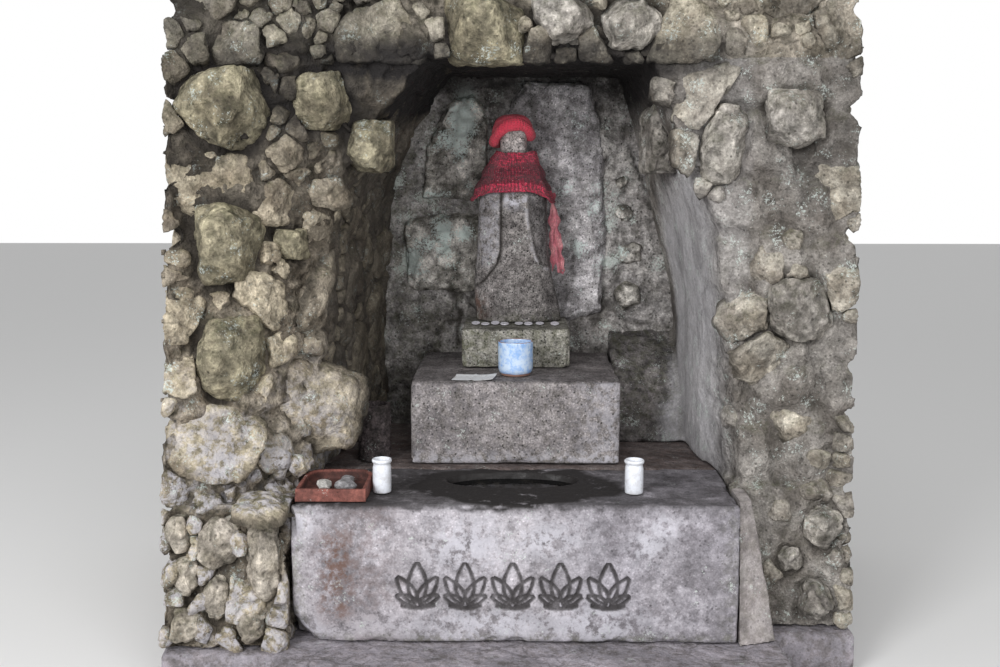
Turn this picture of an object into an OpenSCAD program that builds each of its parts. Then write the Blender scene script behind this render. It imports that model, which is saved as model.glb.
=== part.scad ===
// Wayside shrine: a small robed stone figure on three stacked blocks, in a
// niche of mortared rubble. Millimetres, +Z up, X to the right, Y into the
// niche. The origin is the centre of the footprint at ground level.

/* [Masonry] */
// Overall width of the masonry
wall_w = 1440; // [1300:20:1700]
// Overall depth, from the ledge in front to the outer back face
wall_d = 1120; // [1000:20:1400]
// Thickness of the footing, which is also the height of the ledge
footing_h = 90; // [60:5:140]
// Height of the niche ceiling above the ground
ceiling_z = 1290; // [1200:10:1400]
// Height of the masonry over the ceiling
head_h = 190; // [140:10:260]
// Thickness of the coping on top
coping_h = 65; // [40:5:90]
// Thickness of the back wall
back_t = 160; // [120:10:220]

/* [Steps] */
// Width of the altar block
altar_w = 920; // [860:10:960]
// Height of the altar block above the ledge
altar_h = 295; // [260:5:340]
// Distance of the altar front behind the ledge front
altar_setback = 170; // [120:10:200]
// Width of the middle block
middle_w = 483; // [440:5:520]
// Height of the middle block
middle_h = 195; // [160:5:230]
// Width of the plinth
plinth_w = 265; // [240:5:300]
// Depth of the plinth
plinth_d = 250; // [240:5:280]
// Height of the plinth
plinth_h = 96; // [80:2:120]

/* [Basin] */
// Width of the water basin in the altar top
basin_w = 284; // [220:4:320]
// Depth of the basin from front to back
basin_l = 124; // [90:2:150]
// Depth of the basin below the altar top
basin_depth = 40; // [25:1:60]

/* [Figure] */
// Height of the robed body, up to the neck
body_h = 418; // [390:2:440]
// Width of the robe at the hem
robe_w = 225; // [210:5:240]
// Largest depth of the robe at the hem
robe_d = 118; // [104:2:124]
// How far the sleeves stand out from the robe
sleeve_relief = 9; // [5:0.5:12]
// Height of the head stub from the neck to its flat crown
head_stub_h = 87; // [80:1:92]
// Width of the head stub
head_w = 66; // [60:1:70]
// Thickness of the knitted cap and bib
knit_t = 8; // [5:0.5:9]

/* [Offerings] */
// Outer diameter of the tea cup
cup_d = 83; // [70:1:95]
// Height of the tea cup
cup_h = 80; // [60:1:95]
// Wall of the tea cup
cup_wall = 5; // [3.5:0.5:7]
// Diameter of the two white vases
vase_d = 42; // [36:1:50]
// Height of the two white vases
vase_h = 72; // [60:1:90]
// Width of the terracotta tray
tray_w = 146; // [120:2:150]
// Length of the terracotta tray from front to back
tray_l = 168; // [140:2:180]
// Height of the tray's rim
tray_h = 28; // [20:1:36]
// Wall and floor of the tray
tray_wall = 9; // [7:0.5:12]
// Diameter of a coin
coin_d = 21; // [18:0.5:26]
// Thickness of a coin
coin_t = 1.7; // [1.4:0.1:2.4]
// Outer diameter of the stone flower vase
flower_vase_d = 82; // [70:1:90]
// Height of the stone flower vase
flower_vase_h = 135; // [110:1:160]

/* [Hidden] */

// Heights of the seats, one above the other
altar_z = footing_h + altar_h;
middle_z = altar_z + middle_h;
plinth_z = middle_z + plinth_h;
neck_z = plinth_z + body_h;
crown_z = neck_z + head_stub_h;
head_z = ceiling_z + head_h;

// Plan positions: the masonry first, then the steps from the back wall out
back_gap = 31;
middle_tread = 183;
podium_nose = 26;
basin_margin = 38;
ledge_y = -wall_d / 2;
altar_y = ledge_y + altar_setback;
rear_y = wall_d / 2;
niche_y = rear_y - back_t;
plinth_back = niche_y - back_gap;
plinth_y = plinth_back - plinth_d;
middle_y = plinth_y - middle_tread;
podium_y = middle_y - podium_nose;
basin_y = podium_y - basin_margin - basin_l / 2;
statue_x = 0;
statue_y = plinth_back - 14 - robe_d / 2;
side = wall_w / 2;
altar_side = altar_w / 2;
jamb_t = side - altar_side;
run = niche_y - altar_y;
opening_h = ceiling_z - altar_z;

// Courses of the rubble in the base, the jambs, the head and across the
// coping, and its stones: shares of a stone's width for the bevel beside a
// joint and for its uneven places, and the same for a course's height
base_courses = 2;
jamb_courses = 7;
head_courses = 2;
coping_courses = 4;
jamb_bed = base_courses;
head_bed = jamb_bed + jamb_courses;
top_bed = head_bed + head_courses;
side_stones = 4;
rear_stones = 9;
stone_bevel = 0.14;
stone_shift = 0.2;
bed_bevel = 0.17;
bed_wave = 0.12;
bed_shift = 0.2;
joint_depth = min(22, jamb_t * 0.085);
set_back = 10;
rear_lean = 24;

// A place in the masonry: x as a share of a half width, y as a share of the
// way from the altar front to the back wall
function in_y(share) = altar_y + share * run;

// Fine facets for turned pieces
turned = 72;

// Power that keeps the sign, for rounded-square sections
function spow(v, e) = sign(v) * pow(abs(v), e);

// One level ring: half widths hx and hy about (cx, cy), squarer as e falls
function ring(z, cx, cy, hx, hy, e = 0.8, n = 28) = [
    for (i = [0:n - 1])
        let (t = 360 * i / n)
        [cx + hx * spow(cos(t), e), cy + hy * spow(sin(t), e), z]
];

// Closed skin over level rings that run counterclockwise and upward
module skin(rings) {
    n = len(rings[0]);
    m = len(rings);
    sides = [
        for (j = [0:m - 2])
            for (i = [0:n - 1])
                let (k = (i + 1) % n, a = j * n + i, b = j * n + k)
                each [[a, a + n, b + n], [a, b + n, b]]
    ];
    polyhedron(
        points = [for (r = rings) each r],
        faces = concat(
            [[for (i = [0:n - 1]) i]],
            sides,
            [[for (i = [n - 1:-1:0]) (m - 1) * n + i]]
        )
    );
}

// A fixed number between 0 and 1 for three whole numbers
function chance(a, b, c) =
    let (v = a * 73 + b * 151 + c * 283 + 4099)
    (31 * v * v + 7 * v) % 997 / 997;

// Joint m of a course, in stones along the face
function joint_at(course, m, seed) =
    m + (course % 2 == 0 ? 0.36 : 0.68) + stone_shift * (chance(course + 20, m, seed) - 0.5);

// Each stone has three columns: its joint, and the edges of the flat faces on
// both sides of it. Which of them column k is, as [joint, 0 or 1 or 2]
function column(course, k) =
    let (p = course % 2 == 0 ? 1 : 2, m = floor((k - p) / 3))
    [m, k - p - 3 * m];

// Place of column k in a course, in stones along a face of so many stones
function column_at(course, k, count, seed) =
    let (c = column(course, k))
    k <= 0 ? 0
    : k >= 3 * count ? count
    : c[1] == 0 ? joint_at(course, c[0], seed)
    : c[1] == 1 ? joint_at(course, c[0], seed) + stone_bevel
    : joint_at(course, c[0] + 1, seed) - stone_bevel;

// How far column k lies behind the face: least on the stones, most in joints
function column_depth(row, k, count, seed) =
    let (c = column(row[1], k))
    row[1] != row[2] ? joint_depth * (0.7 + 0.3 * chance(row[4] + 80, k, seed))
    : k <= 0 || k >= 3 * count ? 0
    : c[1] == 0 ? joint_depth
    : set_back * chance(row[1] + 40 * row[4], c[0] + (c[1] == 1 ? 1 : 0) + 3, seed);

// Rows of a face between two beds, as [level, course below, course above,
// unevenness, bed]. A bed is a joint, with a bevel under and over it
function bed_rows(first, last, levels) = [
    for (b = [first:last])
        let (
            at = levels[b],
            under = b > first ? at - levels[b - 1] : 0,
            over = b < last ? levels[b + 1] - at : 0,
            wave = bed_wave * min(under, over)
        )
        each concat(
            b > first ? [[at - bed_bevel * under, b - 1, b - 1, wave, b]] : [],
            [[at, b - 1, b, wave, b]],
            b < last ? [[at + bed_bevel * over, b, b, wave, b]] : []
        )
];

// Level of column k in a row
function row_level(row, k, seed) =
    row[0] + row[3] * (2 * chance(row[4] + 60, k, seed) - 1);

// Points of one row along a face from a to b, without the two ends
function face_run(a, b, inward, count, row, seed) = [
    for (k = [1:3 * count - 1])
        let (
            low = column_at(row[1], k, count, seed),
            high = column_at(row[2], k, count, seed),
            depth = column_depth(row, k, count, seed)
        )
        concat(a + (b - a) * (low + high) / 2 / count + inward * depth, row_level(row, k, seed))
];

// How far a row is drawn in at a corner: in a joint, more or less by its bed
function drawn_in(row) =
    row[1] != row[2] ? joint_depth * (0.25 + 0.75 * chance(row[4] + 90, 1, 5)) : 0;

// A corner of two faces, drawn in where the row is a joint
function face_corner(at, inward, row) = concat(at + inward * drawn_in(row), row[0]);

// Share of its way out that a point of a stone keeps, where planes as
// [x, y, z, reach] break the stone's sides flat
function broken(p, planes) =
    max(0.55, min(concat([1], [
        for (c = planes)
            let (out = p[0] * c[0] + p[1] * c[1], room = c[3] - p[2] * c[2])
            out > 0.05 && out > room ? room / out : 1
    ])));

// A weathered stone: a blocky ball with a seeded uneven skin, broken flat by
// so many seeded cuts on the side that faces out of the wall
module rock(at, half, seed, turn = 0, rough = 0.06, e = 0.72, cuts = 7) {
    n = 12;
    tiers = [-68, -45, -22, 0, 22, 45, 68];
    noise = rands(1 - rough, 1 + rough, n * len(tiers), seed);
    turns = rands(185 - turn, 355 - turn, cuts, seed + 100);
    tilts = rands(-38, 44, cuts, seed + 200);
    reach = rands(0.76, 0.98, cuts, seed + 300);
    planes = [
        for (k = [0:cuts - 1])
            [cos(tilts[k]) * cos(turns[k]), cos(tilts[k]) * sin(turns[k]), sin(tilts[k]), reach[k]]
    ];
    rings = [
        for (j = [0:len(tiers) - 1])
            [
                for (i = [0:n - 1])
                    let (
                        t = 360 * i / n,
                        r = noise[j * n + i] * spow(cos(tiers[j]), e),
                        p = [r * spow(cos(t), e), r * spow(sin(t), e), spow(sin(tiers[j]), e)],
                        kept = broken(p, planes)
                    )
                    [half[0] * p[0] * kept, half[1] * p[1] * kept, half[2] * p[2]]
            ]
    ];
    translate(at)
        rotate([0, 0, turn])
            skin(rings);
}

// A flat facing stone on the plane y = seat, outline in x and z, with its
// outer face drawn in by a bevel
module facing(outline, seat, thick, bevel) {
    n = len(outline);
    mid = [for (k = [0, 1]) [for (p = outline) p[k]] * [for (p = outline) 1] / n];
    inner = [
        for (p = outline)
            let (d = p - mid)
            mid + d * (1 - bevel / norm(d))
    ];
    translate([0, seat, 0])
        rotate([90, 0, 0])
            skin([
                [for (p = outline) [p[0], p[1], 0]],
                [for (i = [0:n - 1]) concat((outline[i] + inner[i]) / 2, thick * 0.7)],
                [for (p = inner) [p[0], p[1], thick]]
            ]);
}

// Footing with the ledge that shows in front of the altar
module footing() {
    ledge_l = -altar_side - 20;
    ledge_r = altar_side + fillet_low + 8;
    wing_l = altar_y - 60;
    wing_r = altar_y + 60;
    color([0.50, 0.47, 0.44])
        linear_extrude(footing_h)
            polygon([
                [-side, rear_y], [-side, wing_l], [ledge_l, wing_l],
                [ledge_l, ledge_y], [ledge_r, ledge_y], [ledge_r, wing_r],
                [side, wing_r], [side, rear_y]
            ]);
}

// Elliptical bowl with a shallow wet margin in front of it
module basin_cut() {
    translate([-6, basin_y, altar_z])
        skin([
            ring(-basin_depth, 0, 0, basin_w * 0.44, basin_l * 0.40, 0.95, 36),
            ring(-basin_depth * 0.5, 0, 0, basin_w * 0.485, basin_l * 0.47, 0.95, 36),
            ring(-4, 0, 0, basin_w * 0.5, basin_l * 0.5, 0.95, 36),
            ring(6, 0, 0, basin_w * 0.52, basin_l * 0.53, 0.95, 36)
        ]);
}

// Altar block: cast block with a chipped lower left corner and the basin
module altar_block() {
    chip_w = altar_w * 0.067;
    chip_h = altar_h * 0.285;
    color([0.55, 0.52, 0.49])
        difference() {
            translate([-altar_side, altar_y, footing_h])
                cube([altar_w, podium_y - altar_y, altar_h]);
            basin_cut();
            translate([-altar_side, altar_y, footing_h])
                skin([
                    [[-1, -1, -1], [chip_w, -1, -1], [-1, 46, -1]],
                    [[-1, -1, chip_h], [0, -1, chip_h], [-1, 0, chip_h]]
                ]);
        }
}

// Fill under the niche floor, with its mortared top level with the altar
module podium_fill() {
    color([0.42, 0.38, 0.35])
        translate([-altar_side, podium_y, footing_h])
            cube([altar_w, niche_y - podium_y, altar_h]);
}

// A cast block with worn vertical corners
module worn_block(w, front, back, z, h, wear) {
    color([0.52, 0.49, 0.46])
        translate([-w / 2, front, z])
            linear_extrude(h)
                polygon([
                    [wear, 0], [w - wear, 0], [w, wear], [w, back - front],
                    [0, back - front], [0, wear]
                ]);
}

module middle_block() {
    worn_block(middle_w, middle_y, niche_y - 14, altar_z, middle_h, 5);
}

module plinth_block() {
    worn_block(plinth_w, plinth_y, plinth_back, middle_z, plinth_h, 9);
}

// Robe profile against shares of the body height: left and right edges and
// the inner edges of the two sleeves as shares of the hem width, and the
// section's depth as a share of the hem depth
robe_left = [
    [0, -0.46], [0.10, -0.48], [0.22, -0.476], [0.30, -0.467], [0.43, -0.44],
    [0.72, -0.422], [0.82, -0.40], [0.90, -0.33], [0.96, -0.222], [1, -0.178]
];
robe_right = [
    [0, 0.52], [0.10, 0.49], [0.22, 0.431], [0.30, 0.40], [0.43, 0.364],
    [0.72, 0.351], [0.82, 0.333], [0.90, 0.267], [0.96, 0.169], [1, 0.124]
];
robe_depth = [
    [0, 1], [0.10, 1], [0.22, 0.93], [0.43, 0.88], [0.72, 0.88],
    [0.82, 0.84], [0.90, 0.72], [0.96, 0.58], [1, 0.50]
];
sleeve_left = [
    [0, -0.458], [0.21, -0.458], [0.235, -0.364], [0.29, -0.293], [0.34, -0.213],
    [0.42, -0.169], [0.55, -0.16], [0.85, -0.16], [1, -0.133]
];
sleeve_right = [
    [0, 0.498], [0.10, 0.467], [0.27, 0.391], [0.31, 0.276], [0.38, 0.204],
    [0.50, 0.151], [0.62, 0.124], [0.85, 0.111], [1, 0.08]
];
sleeve_l_end = 0.21;
sleeve_r_end = 0.28;
robe_levels = [
    0, 0.02, 0.05, 0.10, 0.16, 0.205, 0.22, 0.25, 0.275, 0.29, 0.31, 0.34, 0.38, 0.43,
    0.50, 0.58, 0.66, 0.74, 0.80, 0.85, 0.90, 0.94, 0.975, 1
];

// Front of the robe at x: the rounded section, with two toes at the hem
function robe_front(x, s, cx, hx, hy) =
    let (
        u = min(1, abs(x - cx) / hx),
        curve = spow(1 - pow(u, 2.5), 0.4),
        toe_x = 0.11 * robe_w,
        toe_w = 0.058 * robe_w,
        toes = 7 * max(0, 1 - s / 0.06)
            * (exp(-pow((x + toe_x) / toe_w, 2)) + exp(-pow((x - toe_x) / toe_w, 2)))
    )
    -hy * curve - toes;

// One ring of the robe, grown outward by g: the front panel between the
// sleeves, the right sleeve, the back and the left sleeve
function robe_ring(s, g = 0, relief = sleeve_relief) =
    let (
        xl = lookup(s, robe_left) * robe_w - g,
        xr = lookup(s, robe_right) * robe_w + g,
        hy = lookup(s, robe_depth) * robe_d / 2 + g,
        cx = (xl + xr) / 2,
        hx = (xr - xl) / 2,
        gl = max(lookup(s, sleeve_left) * robe_w, xl + 3),
        gr = min(lookup(s, sleeve_right) * robe_w, xr - 3),
        dl = s > sleeve_l_end ? relief : 0,
        dr = s > sleeve_r_end ? relief : 0,
        z = plinth_z + s * body_h,
        panel = [for (i = [0:7]) gl + (gr - gl) * i / 7],
        right = [for (i = [0:5]) gr + 2 + (xr - gr - 2) * sin(90 * i / 6)],
        left = [for (i = [5:-1:0]) gl - 2 - (gl - 2 - xl) * sin(90 * i / 6)],
        back = [for (i = [0:13]) 180 * i / 13]
    )
    [
        for (x = panel)
            [statue_x + x, statue_y + robe_front(x, s, cx, hx, hy), z],
        for (x = right)
            let (fade = sqrt(max(0, 1 - pow((x - cx) / hx, 4))))
            [statue_x + x, statue_y + robe_front(x, s, cx, hx, hy) - dr * fade, z],
        for (t = back)
            [
                statue_x + cx + hx * spow(cos(t), 0.8),
                statue_y + hy * spow(sin(t), 0.8),
                z
            ],
        for (x = left)
            let (fade = sqrt(max(0, 1 - pow((x - cx) / hx, 4))))
            [statue_x + x, statue_y + robe_front(x, s, cx, hx, hy) - dl * fade, z]
    ];

// Robed body of the figure, with hanging sleeves and toes under the hem
module statue_body() {
    color([0.45, 0.42, 0.38])
        skin([for (s = robe_levels) robe_ring(s)]);
}

// Centre of the head over the neck
head_x = statue_x - 0.03 * robe_w;
head_y = statue_y;

// Worn head stub with a flat crown, as levels of [share of the height, half
// width and half depth as shares of the head width]; the face has weathered
// away
head_levels = [
    [0, 0.45, 0.41], [0.10, 0.50, 0.47], [0.35, 0.50, 0.52], [0.55, 0.515, 0.53],
    [0.66, 0.60, 0.575], [0.90, 0.59, 0.56], [1, 0.455, 0.44]
];
module statue_head() {
    color([0.50, 0.47, 0.43])
        skin([
            for (l = head_levels)
                ring(neck_z + l[0] * head_stub_h, head_x, head_y, l[1] * head_w, l[2] * head_w)
        ]);
}

// Knitted cap: a soft dome on the crown with an arched brim
module knitted_cap() {
    rim = neck_z + head_stub_h * 0.36;
    clear = 1.6;
    cavity = 0.60 * head_w + clear;
    outer = cavity + knit_t;
    color([0.72, 0.07, 0.12])
        difference() {
            skin([
                ring(rim, head_x, head_y, outer + 4, outer + 2, 0.95),
                ring(rim + 14, head_x, head_y, outer + 7, outer + 4, 0.95),
                ring(rim + 30, head_x, head_y, outer + 4, outer + 2, 0.95),
                ring(crown_z - 12, head_x, head_y, outer - 1, outer - 2, 0.95),
                ring(crown_z + knit_t * 0.4, head_x, head_y, outer - 9, outer - 10, 0.95),
                ring(crown_z + knit_t + 1, head_x, head_y, outer - 24, outer - 24, 0.95),
                ring(crown_z + knit_t + 4, head_x, head_y, 12, 12, 0.95)
            ]);
            translate([0, 0, -1])
                skin([
                    ring(rim, head_x, head_y, cavity, cavity - 1),
                    ring(crown_z - 8, head_x, head_y, cavity, cavity - 1),
                    ring(crown_z + 1, head_x, head_y, cavity - 8, cavity - 9)
                ]);
            translate([head_x + 2, head_y, neck_z + head_stub_h * 0.28])
                rotate([90, 0, 0])
                    cylinder(h = 2 * outer, r = 0.545 * head_w, $fn = turned);
        }
}

// Knitted bib: a soft flared cape about the neck and shoulders
bib_levels = [0.765, 0.80, 0.84, 0.88, 0.92, 0.955, 0.99];
module knitted_bib() {
    clear = 0.5;
    inner = [for (s = bib_levels) robe_ring(s, clear)];
    outer = [for (s = bib_levels) robe_ring(s, clear + knit_t + 26 * max(0, 0.80 - s))];
    n = len(inner[0]);
    m = len(bib_levels);
    color([0.62, 0.07, 0.13])
        polyhedron(
            points = [for (r = concat(inner, outer)) each r],
            faces = [
                for (i = [0:n - 1])
                    let (k = (i + 1) % n, o = m * n, top = (m - 1) * n)
                    each concat(
                        [
                            for (j = [0:m - 2])
                                let (a = j * n + i, b = j * n + k)
                                each [
                                    [a, b, b + n], [a, b + n, a + n],
                                    [o + a, o + a + n, o + b + n],
                                    [o + a, o + b + n, o + b]
                                ]
                        ],
                        [
                            [i, o + i, o + k], [i, o + k, k],
                            [top + i, top + k, o + top + k],
                            [top + i, o + top + k, o + top + i]
                        ]
                    )
            ]
        );
}

// Torn strip of cloth that hangs from the right end of the bib
module bib_tail() {
    top = plinth_z + bib_levels[0] * body_h - 0.4;
    thick = 4;
    outline = [
        [0.373, 0], [0.418, 0], [0.471, 0.144], [0.524, 0.311], [0.551, 0.478],
        [0.444, 0.455], [0.413, 0.263], [0.382, 0.144]
    ];
    color([0.80, 0.22, 0.24])
        translate([statue_x, statue_y - 4, top])
            rotate([90, 0, 0])
                linear_extrude(thick, center = true)
                    polygon([for (p = outline) [p[0] * robe_w, -p[1] * body_h]]);
}

// Straight tea cup with a turned foot
module tea_cup() {
    r = cup_d / 2;
    foot = 5;
    color([0.80, 0.85, 0.92])
        translate([0, middle_y + middle_tread / 2, middle_z])
            rotate_extrude($fn = turned)
                polygon([
                    [0, 2], [r - 14, 2], [r - 14, 0], [r - 7, 0], [r - 6, foot],
                    [r - 1, foot + 6], [r, cup_h - 2], [r - 1, cup_h],
                    [r - cup_wall + 1, cup_h], [r - cup_wall, cup_h - 2],
                    [r - cup_wall - 1, foot + 12], [r - cup_wall - 6, foot + 5], [0, foot + 4]
                ]);
}

// Folded slip of paper beside the cup
module offering_paper() {
    slip = [96, 62, 0.8];
    color([0.86, 0.86, 0.84])
        translate([-cup_d / 2 - 6, middle_y + 34, middle_z])
            rotate([0, 0, 172])
                translate([0, -slip[1] / 2, 0])
                    cube(slip);
}

// White offering vase with a rolled lip
module vase(at) {
    r = vase_d / 2;
    wall = 4;
    color([0.92, 0.91, 0.88])
        translate(at)
            rotate_extrude($fn = turned)
                polygon([
                    [0, 0], [r - 3, 0], [r - 1.5, 3], [r - 1, vase_h - 16],
                    [r - 2.5, vase_h - 10], [r, vase_h - 3], [r - 1, vase_h],
                    [r - wall, vase_h], [r - wall - 2.5, vase_h - 8],
                    [r - wall - 1, vase_h - 18], [r - wall - 2, 10], [0, 8]
                ]);
}

module vase_left() {
    vase([tray_at[0] + tray_w + 3 + vase_d / 2, altar_y + 94, altar_z]);
}

module vase_right() {
    vase([0.543 * altar_side, altar_y + 94, altar_z]);
}

// Plan of the tray: square in front and round at the back corners
tray_at = [-altar_side + 10, altar_y + 12, altar_z];
module tray_plan(inset) {
    corner = 44;
    w = tray_w - 2 * inset;
    l = tray_l - 2 * inset;
    r = corner - inset;
    translate([inset, inset])
        polygon(concat(
            [[0, 0], [w, 0]],
            [for (t = [0:15:90]) [w - r + r * cos(t), l - r + r * sin(t)]],
            [for (t = [90:15:180]) [r + r * cos(t), l - r + r * sin(t)]]
        ));
}

// Low terracotta tray
module terracotta_tray() {
    color([0.62, 0.28, 0.20])
        translate(tray_at)
            difference() {
                linear_extrude(tray_h)
                    tray_plan(0);
                translate([0, 0, tray_wall])
                    linear_extrude(tray_h)
                        tray_plan(tray_wall);
            }
}

// Three pebbles lying in the tray
module tray_pebbles() {
    floor_z = tray_at[2] + tray_wall;
    color([0.55, 0.55, 0.54])
        for (p = [[0.33, 0.42, 17, 3], [0.66, 0.36, 20, 5], [0.62, 0.68, 15, 8]])
            rock(
                [tray_at[0] + p[0] * tray_w, tray_at[1] + p[1] * tray_l, floor_z + p[2] * 0.6 * 0.947],
                [p[2] * 1.15, p[2], p[2] * 0.6], p[3], 30 * p[3]
            );
}

// Coins left in a row before the hem, at shares of the plinth's half width
module coins() {
    row = [-0.75, -0.57, -0.385, -0.21, 0.06, 0.235, 0.45, 0.73];
    front = statue_y - robe_d / 2 - 32;
    color([0.75, 0.75, 0.76])
        for (i = [0:len(row) - 1])
            translate([row[i] * plinth_w / 2, front - 12 * (i % 2), plinth_z])
                cylinder(h = coin_t, d = coin_d, $fn = turned);
}

// Hollowed stone for flowers, at the left of the middle block
module flower_vase() {
    bore_d = flower_vase_d * 0.64;
    base_t = 24;
    color([0.20, 0.18, 0.17])
        translate([-0.716 * altar_side, podium_y + 78, altar_z])
            difference() {
                cylinder(h = flower_vase_h, d = flower_vase_d, $fn = turned);
                translate([0, 0, base_t])
                    cylinder(h = flower_vase_h, d = bore_d, $fn = turned);
            }
}

// Masonry at the left, up to the level of the altar top, with a loop of
// stones: place, half sizes, seed
base_batter = 40;
base_skew = 12;
left_base_front = altar_y - 50;

// A stone of a base, from its shares across from the outer side and up, half
// width and half height, and its seed; on which side, and the front's foot
function base_rock(s, way, front) =
    let (half_y = jamb_t * (0.06 + 0.5 * s[2]))
    [
        [
            way * (side - jamb_t * s[0]), front + base_batter * s[1] + base_skew * s[0] + 0.3 * half_y,
            footing_h + altar_h * s[1]
        ],
        [jamb_t * s[2], half_y, altar_h * s[3]], s[4]
    ];
left_base_rocks = [
    for (s = [
        [0.13, 0.79, 0.085, 0.15, 21], [0.20, 0.49, 0.10, 0.15, 22],
        [0.45, 0.73, 0.165, 0.20, 23], [0.43, 0.34, 0.095, 0.175, 24],
        [0.17, 0.17, 0.14, 0.14, 25], [0.79, 0.60, 0.15, 0.31, 26],
        [0.69, 0.145, 0.16, 0.11, 27]
    ])
        base_rock(s, -1, left_base_front)
];

module base_mass(front_low, seed) {
    skin([
        for (row = bed_rows(0, jamb_bed, bed_levels))
            let (
                share = (row[0] - footing_h) / altar_h,
                front = front_low + share * base_batter,
                inset = drawn_in(row)
            )
            concat(
                [face_corner([-side, niche_y], [1, 0], row)],
                face_run([-side, niche_y], [-side, front], [1, 0], side_stones, row, seed),
                [
                    [-side + inset, front + base_skew * inset / jamb_t, row[0]],
                    [-altar_side, front + base_skew, row[0]], [-altar_side, niche_y, row[0]]
                ]
            )
    ]);
}

module left_base() {
    color([0.50, 0.45, 0.39])
        difference() {
            base_mass(left_base_front, 1);
            left_base_stones();
        }
}

// A stone of a jamb: x, y and level as shares, half width, half depth and
// half height as shares of the way in and of the opening's height
function jamb_rock(x, y, z, half_x, half_y, half_z, seed) =
    [[x, in_y(y), jamb_z(z)], [half_x, half_y * run, half_z * opening_h], seed];

// Stones from a list of [place, half sizes, seed]
module rocks(list) {
    for (s = list)
        rock(s[0], s[1], s[2], 10 * s[2]);
}

module left_base_stones() {
    color([0.47, 0.43, 0.38])
        rocks(left_base_rocks);
}

// Jamb levels between the altar top and the ceiling, as shares
function jamb_z(share) = altar_z + share * opening_h;

// Levels of the beds from the footing to the head of the wall, uneven within
// the base, the jambs and the head
function bed_level(b) =
    let (
        section = b < jamb_bed ? [0, jamb_bed, footing_h, altar_h]
            : b < head_bed ? [jamb_bed, head_bed, altar_z, opening_h]
            : [head_bed, top_bed, ceiling_z, head_h],
        inside = b > section[0] && b < section[1],
        shift = inside ? bed_shift * (2 * chance(b, 4, 9) - 1) : 0
    )
    section[2] + section[3] * (b - section[0] + shift) / (section[1] - section[0]);
bed_levels = [for (b = [0:top_bed]) bed_level(b)];

// One row of a jamb. Its plan comes from rows of shares: level; y of the
// outer front; x beyond the altar and y of the middle of the face; x and y of
// the arris; and x of the inner face at its middle and at the back wall
function jamb_ring(plan, row, seed) =
    let (
        share = (row[0] - altar_z) / opening_h,
        r = [for (c = [0:7]) lookup(share, [for (p = plan) [p[0], p[c]]])],
        outer = [-side, in_y(r[1])],
        middle = [-altar_side - r[2] * jamb_t, in_y(r[3])],
        arris = [-r[4] * altar_side, in_y(r[5])]
    )
    concat(
        [face_corner([-side, niche_y], [1, 0], row)],
        face_run([-side, niche_y], outer, [1, 0], side_stones, row, seed),
        [face_corner(outer, [1, 1], row)],
        face_run(outer, middle, [0, 1], 1, row, seed + 2),
        [face_corner(middle, [0, 1], row)],
        face_run(middle, arris, [0, 1], 1, row, seed + 4),
        [
            face_corner(arris, [-0.4, 0.8], row),
            [-r[6] * altar_side, podium_y + 85, row[0]],
            [-r[7] * altar_side, niche_y, row[0]]
        ]
    );

// Rubble jamb at the left, which leans into the niche near its top
left_jamb_rows = [
    [0, -0.013, 0.385, 0.025, 0.985, 0.162, 0.937, 0.761],
    [0.35, 0.057, 0.385, 0.124, 0.909, 0.285, 0.891, 0.75],
    [0.66, 0.108, 0.365, 0.184, 0.865, 0.335, 0.848, 0.717],
    [0.84, 0.133, 0.231, 0.209, 0.674, 0.329, 0.652, 0.587],
    [1, 0.162, 0.077, 0.234, 0.413, 0.304, 0.396, 0.37]
];
left_jamb_rocks = [
    jamb_rock(-side + jamb_t * 0.44, 0.20, 0.88, jamb_t * 0.34, 0.116, 0.102, 41),
    jamb_rock(-side + jamb_t * 0.42, 0.162, 0.57, jamb_t * 0.32, 0.089, 0.108, 42),
    jamb_rock(-side + jamb_t * 0.477, 0.137, 0.31, jamb_t * 0.324, 0.078, 0.106, 43),
    jamb_rock(-side + jamb_t * 0.90, 0.253, 0.57, jamb_t * 0.13, 0.053, 0.04, 44),
    jamb_rock(-altar_side * 0.913, 0.291, 0.905, altar_side * 0.13, 0.084, 0.077, 45)
];
left_head_rock = jamb_rock(-altar_side * 0.70, 0.352, 0.80, altar_side * 0.117, 0.078, 0.069, 47);

module left_jamb() {
    color([0.49, 0.45, 0.39])
        difference() {
            skin([
                for (row = bed_rows(jamb_bed, head_bed, bed_levels))
                    jamb_ring(left_jamb_rows, row, 1)
            ]);
            left_jamb_stones();
            left_head_stone();
        }
}

module left_jamb_stones() {
    color([0.50, 0.46, 0.40])
        rocks(left_jamb_rocks);
}

module left_head_stone() {
    color([0.48, 0.46, 0.40])
        rocks([left_head_rock]);
}

// Masonry at the right, up to the level of the altar top
right_base_front = altar_y + 90;
fillet_low = jamb_t * 0.315;
right_base_rocks = [
    for (s = [
        [0.30, 0.20, 0.22, 0.155, 61], [0.50, 0.48, 0.12, 0.10, 63], [0.25, 0.72, 0.17, 0.18, 65]
    ])
        base_rock(s, 1, right_base_front)
];

module right_base() {
    color([0.46, 0.42, 0.38])
        difference() {
            mirror([1, 0, 0])
                base_mass(right_base_front, 2);
            right_base_stones();
        }
}

module right_base_stones() {
    color([0.45, 0.42, 0.37])
        rocks(right_base_rocks);
}

// Rendered wedge that closes the joint at the right end of the altar. Its
// back lies on the battered face of the right base
module right_fillet() {
    high = jamb_t * 0.115;
    front = altar_y - 12;
    lean = 40;
    skew = 12 / jamb_t;
    back = right_base_front + 12;
    color([0.50, 0.47, 0.44])
        skin([
            [
                [altar_side, front, footing_h], [altar_side + fillet_low, front + 26, footing_h],
                [altar_side + fillet_low, back - fillet_low * skew, footing_h],
                [altar_side, back, footing_h]
            ],
            [
                [altar_side, front + lean, altar_z], [altar_side + high, front + 60, altar_z],
                [altar_side + high, back + lean - high * skew, altar_z],
                [altar_side, back + lean, altar_z]
            ]
        ]);
}

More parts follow.
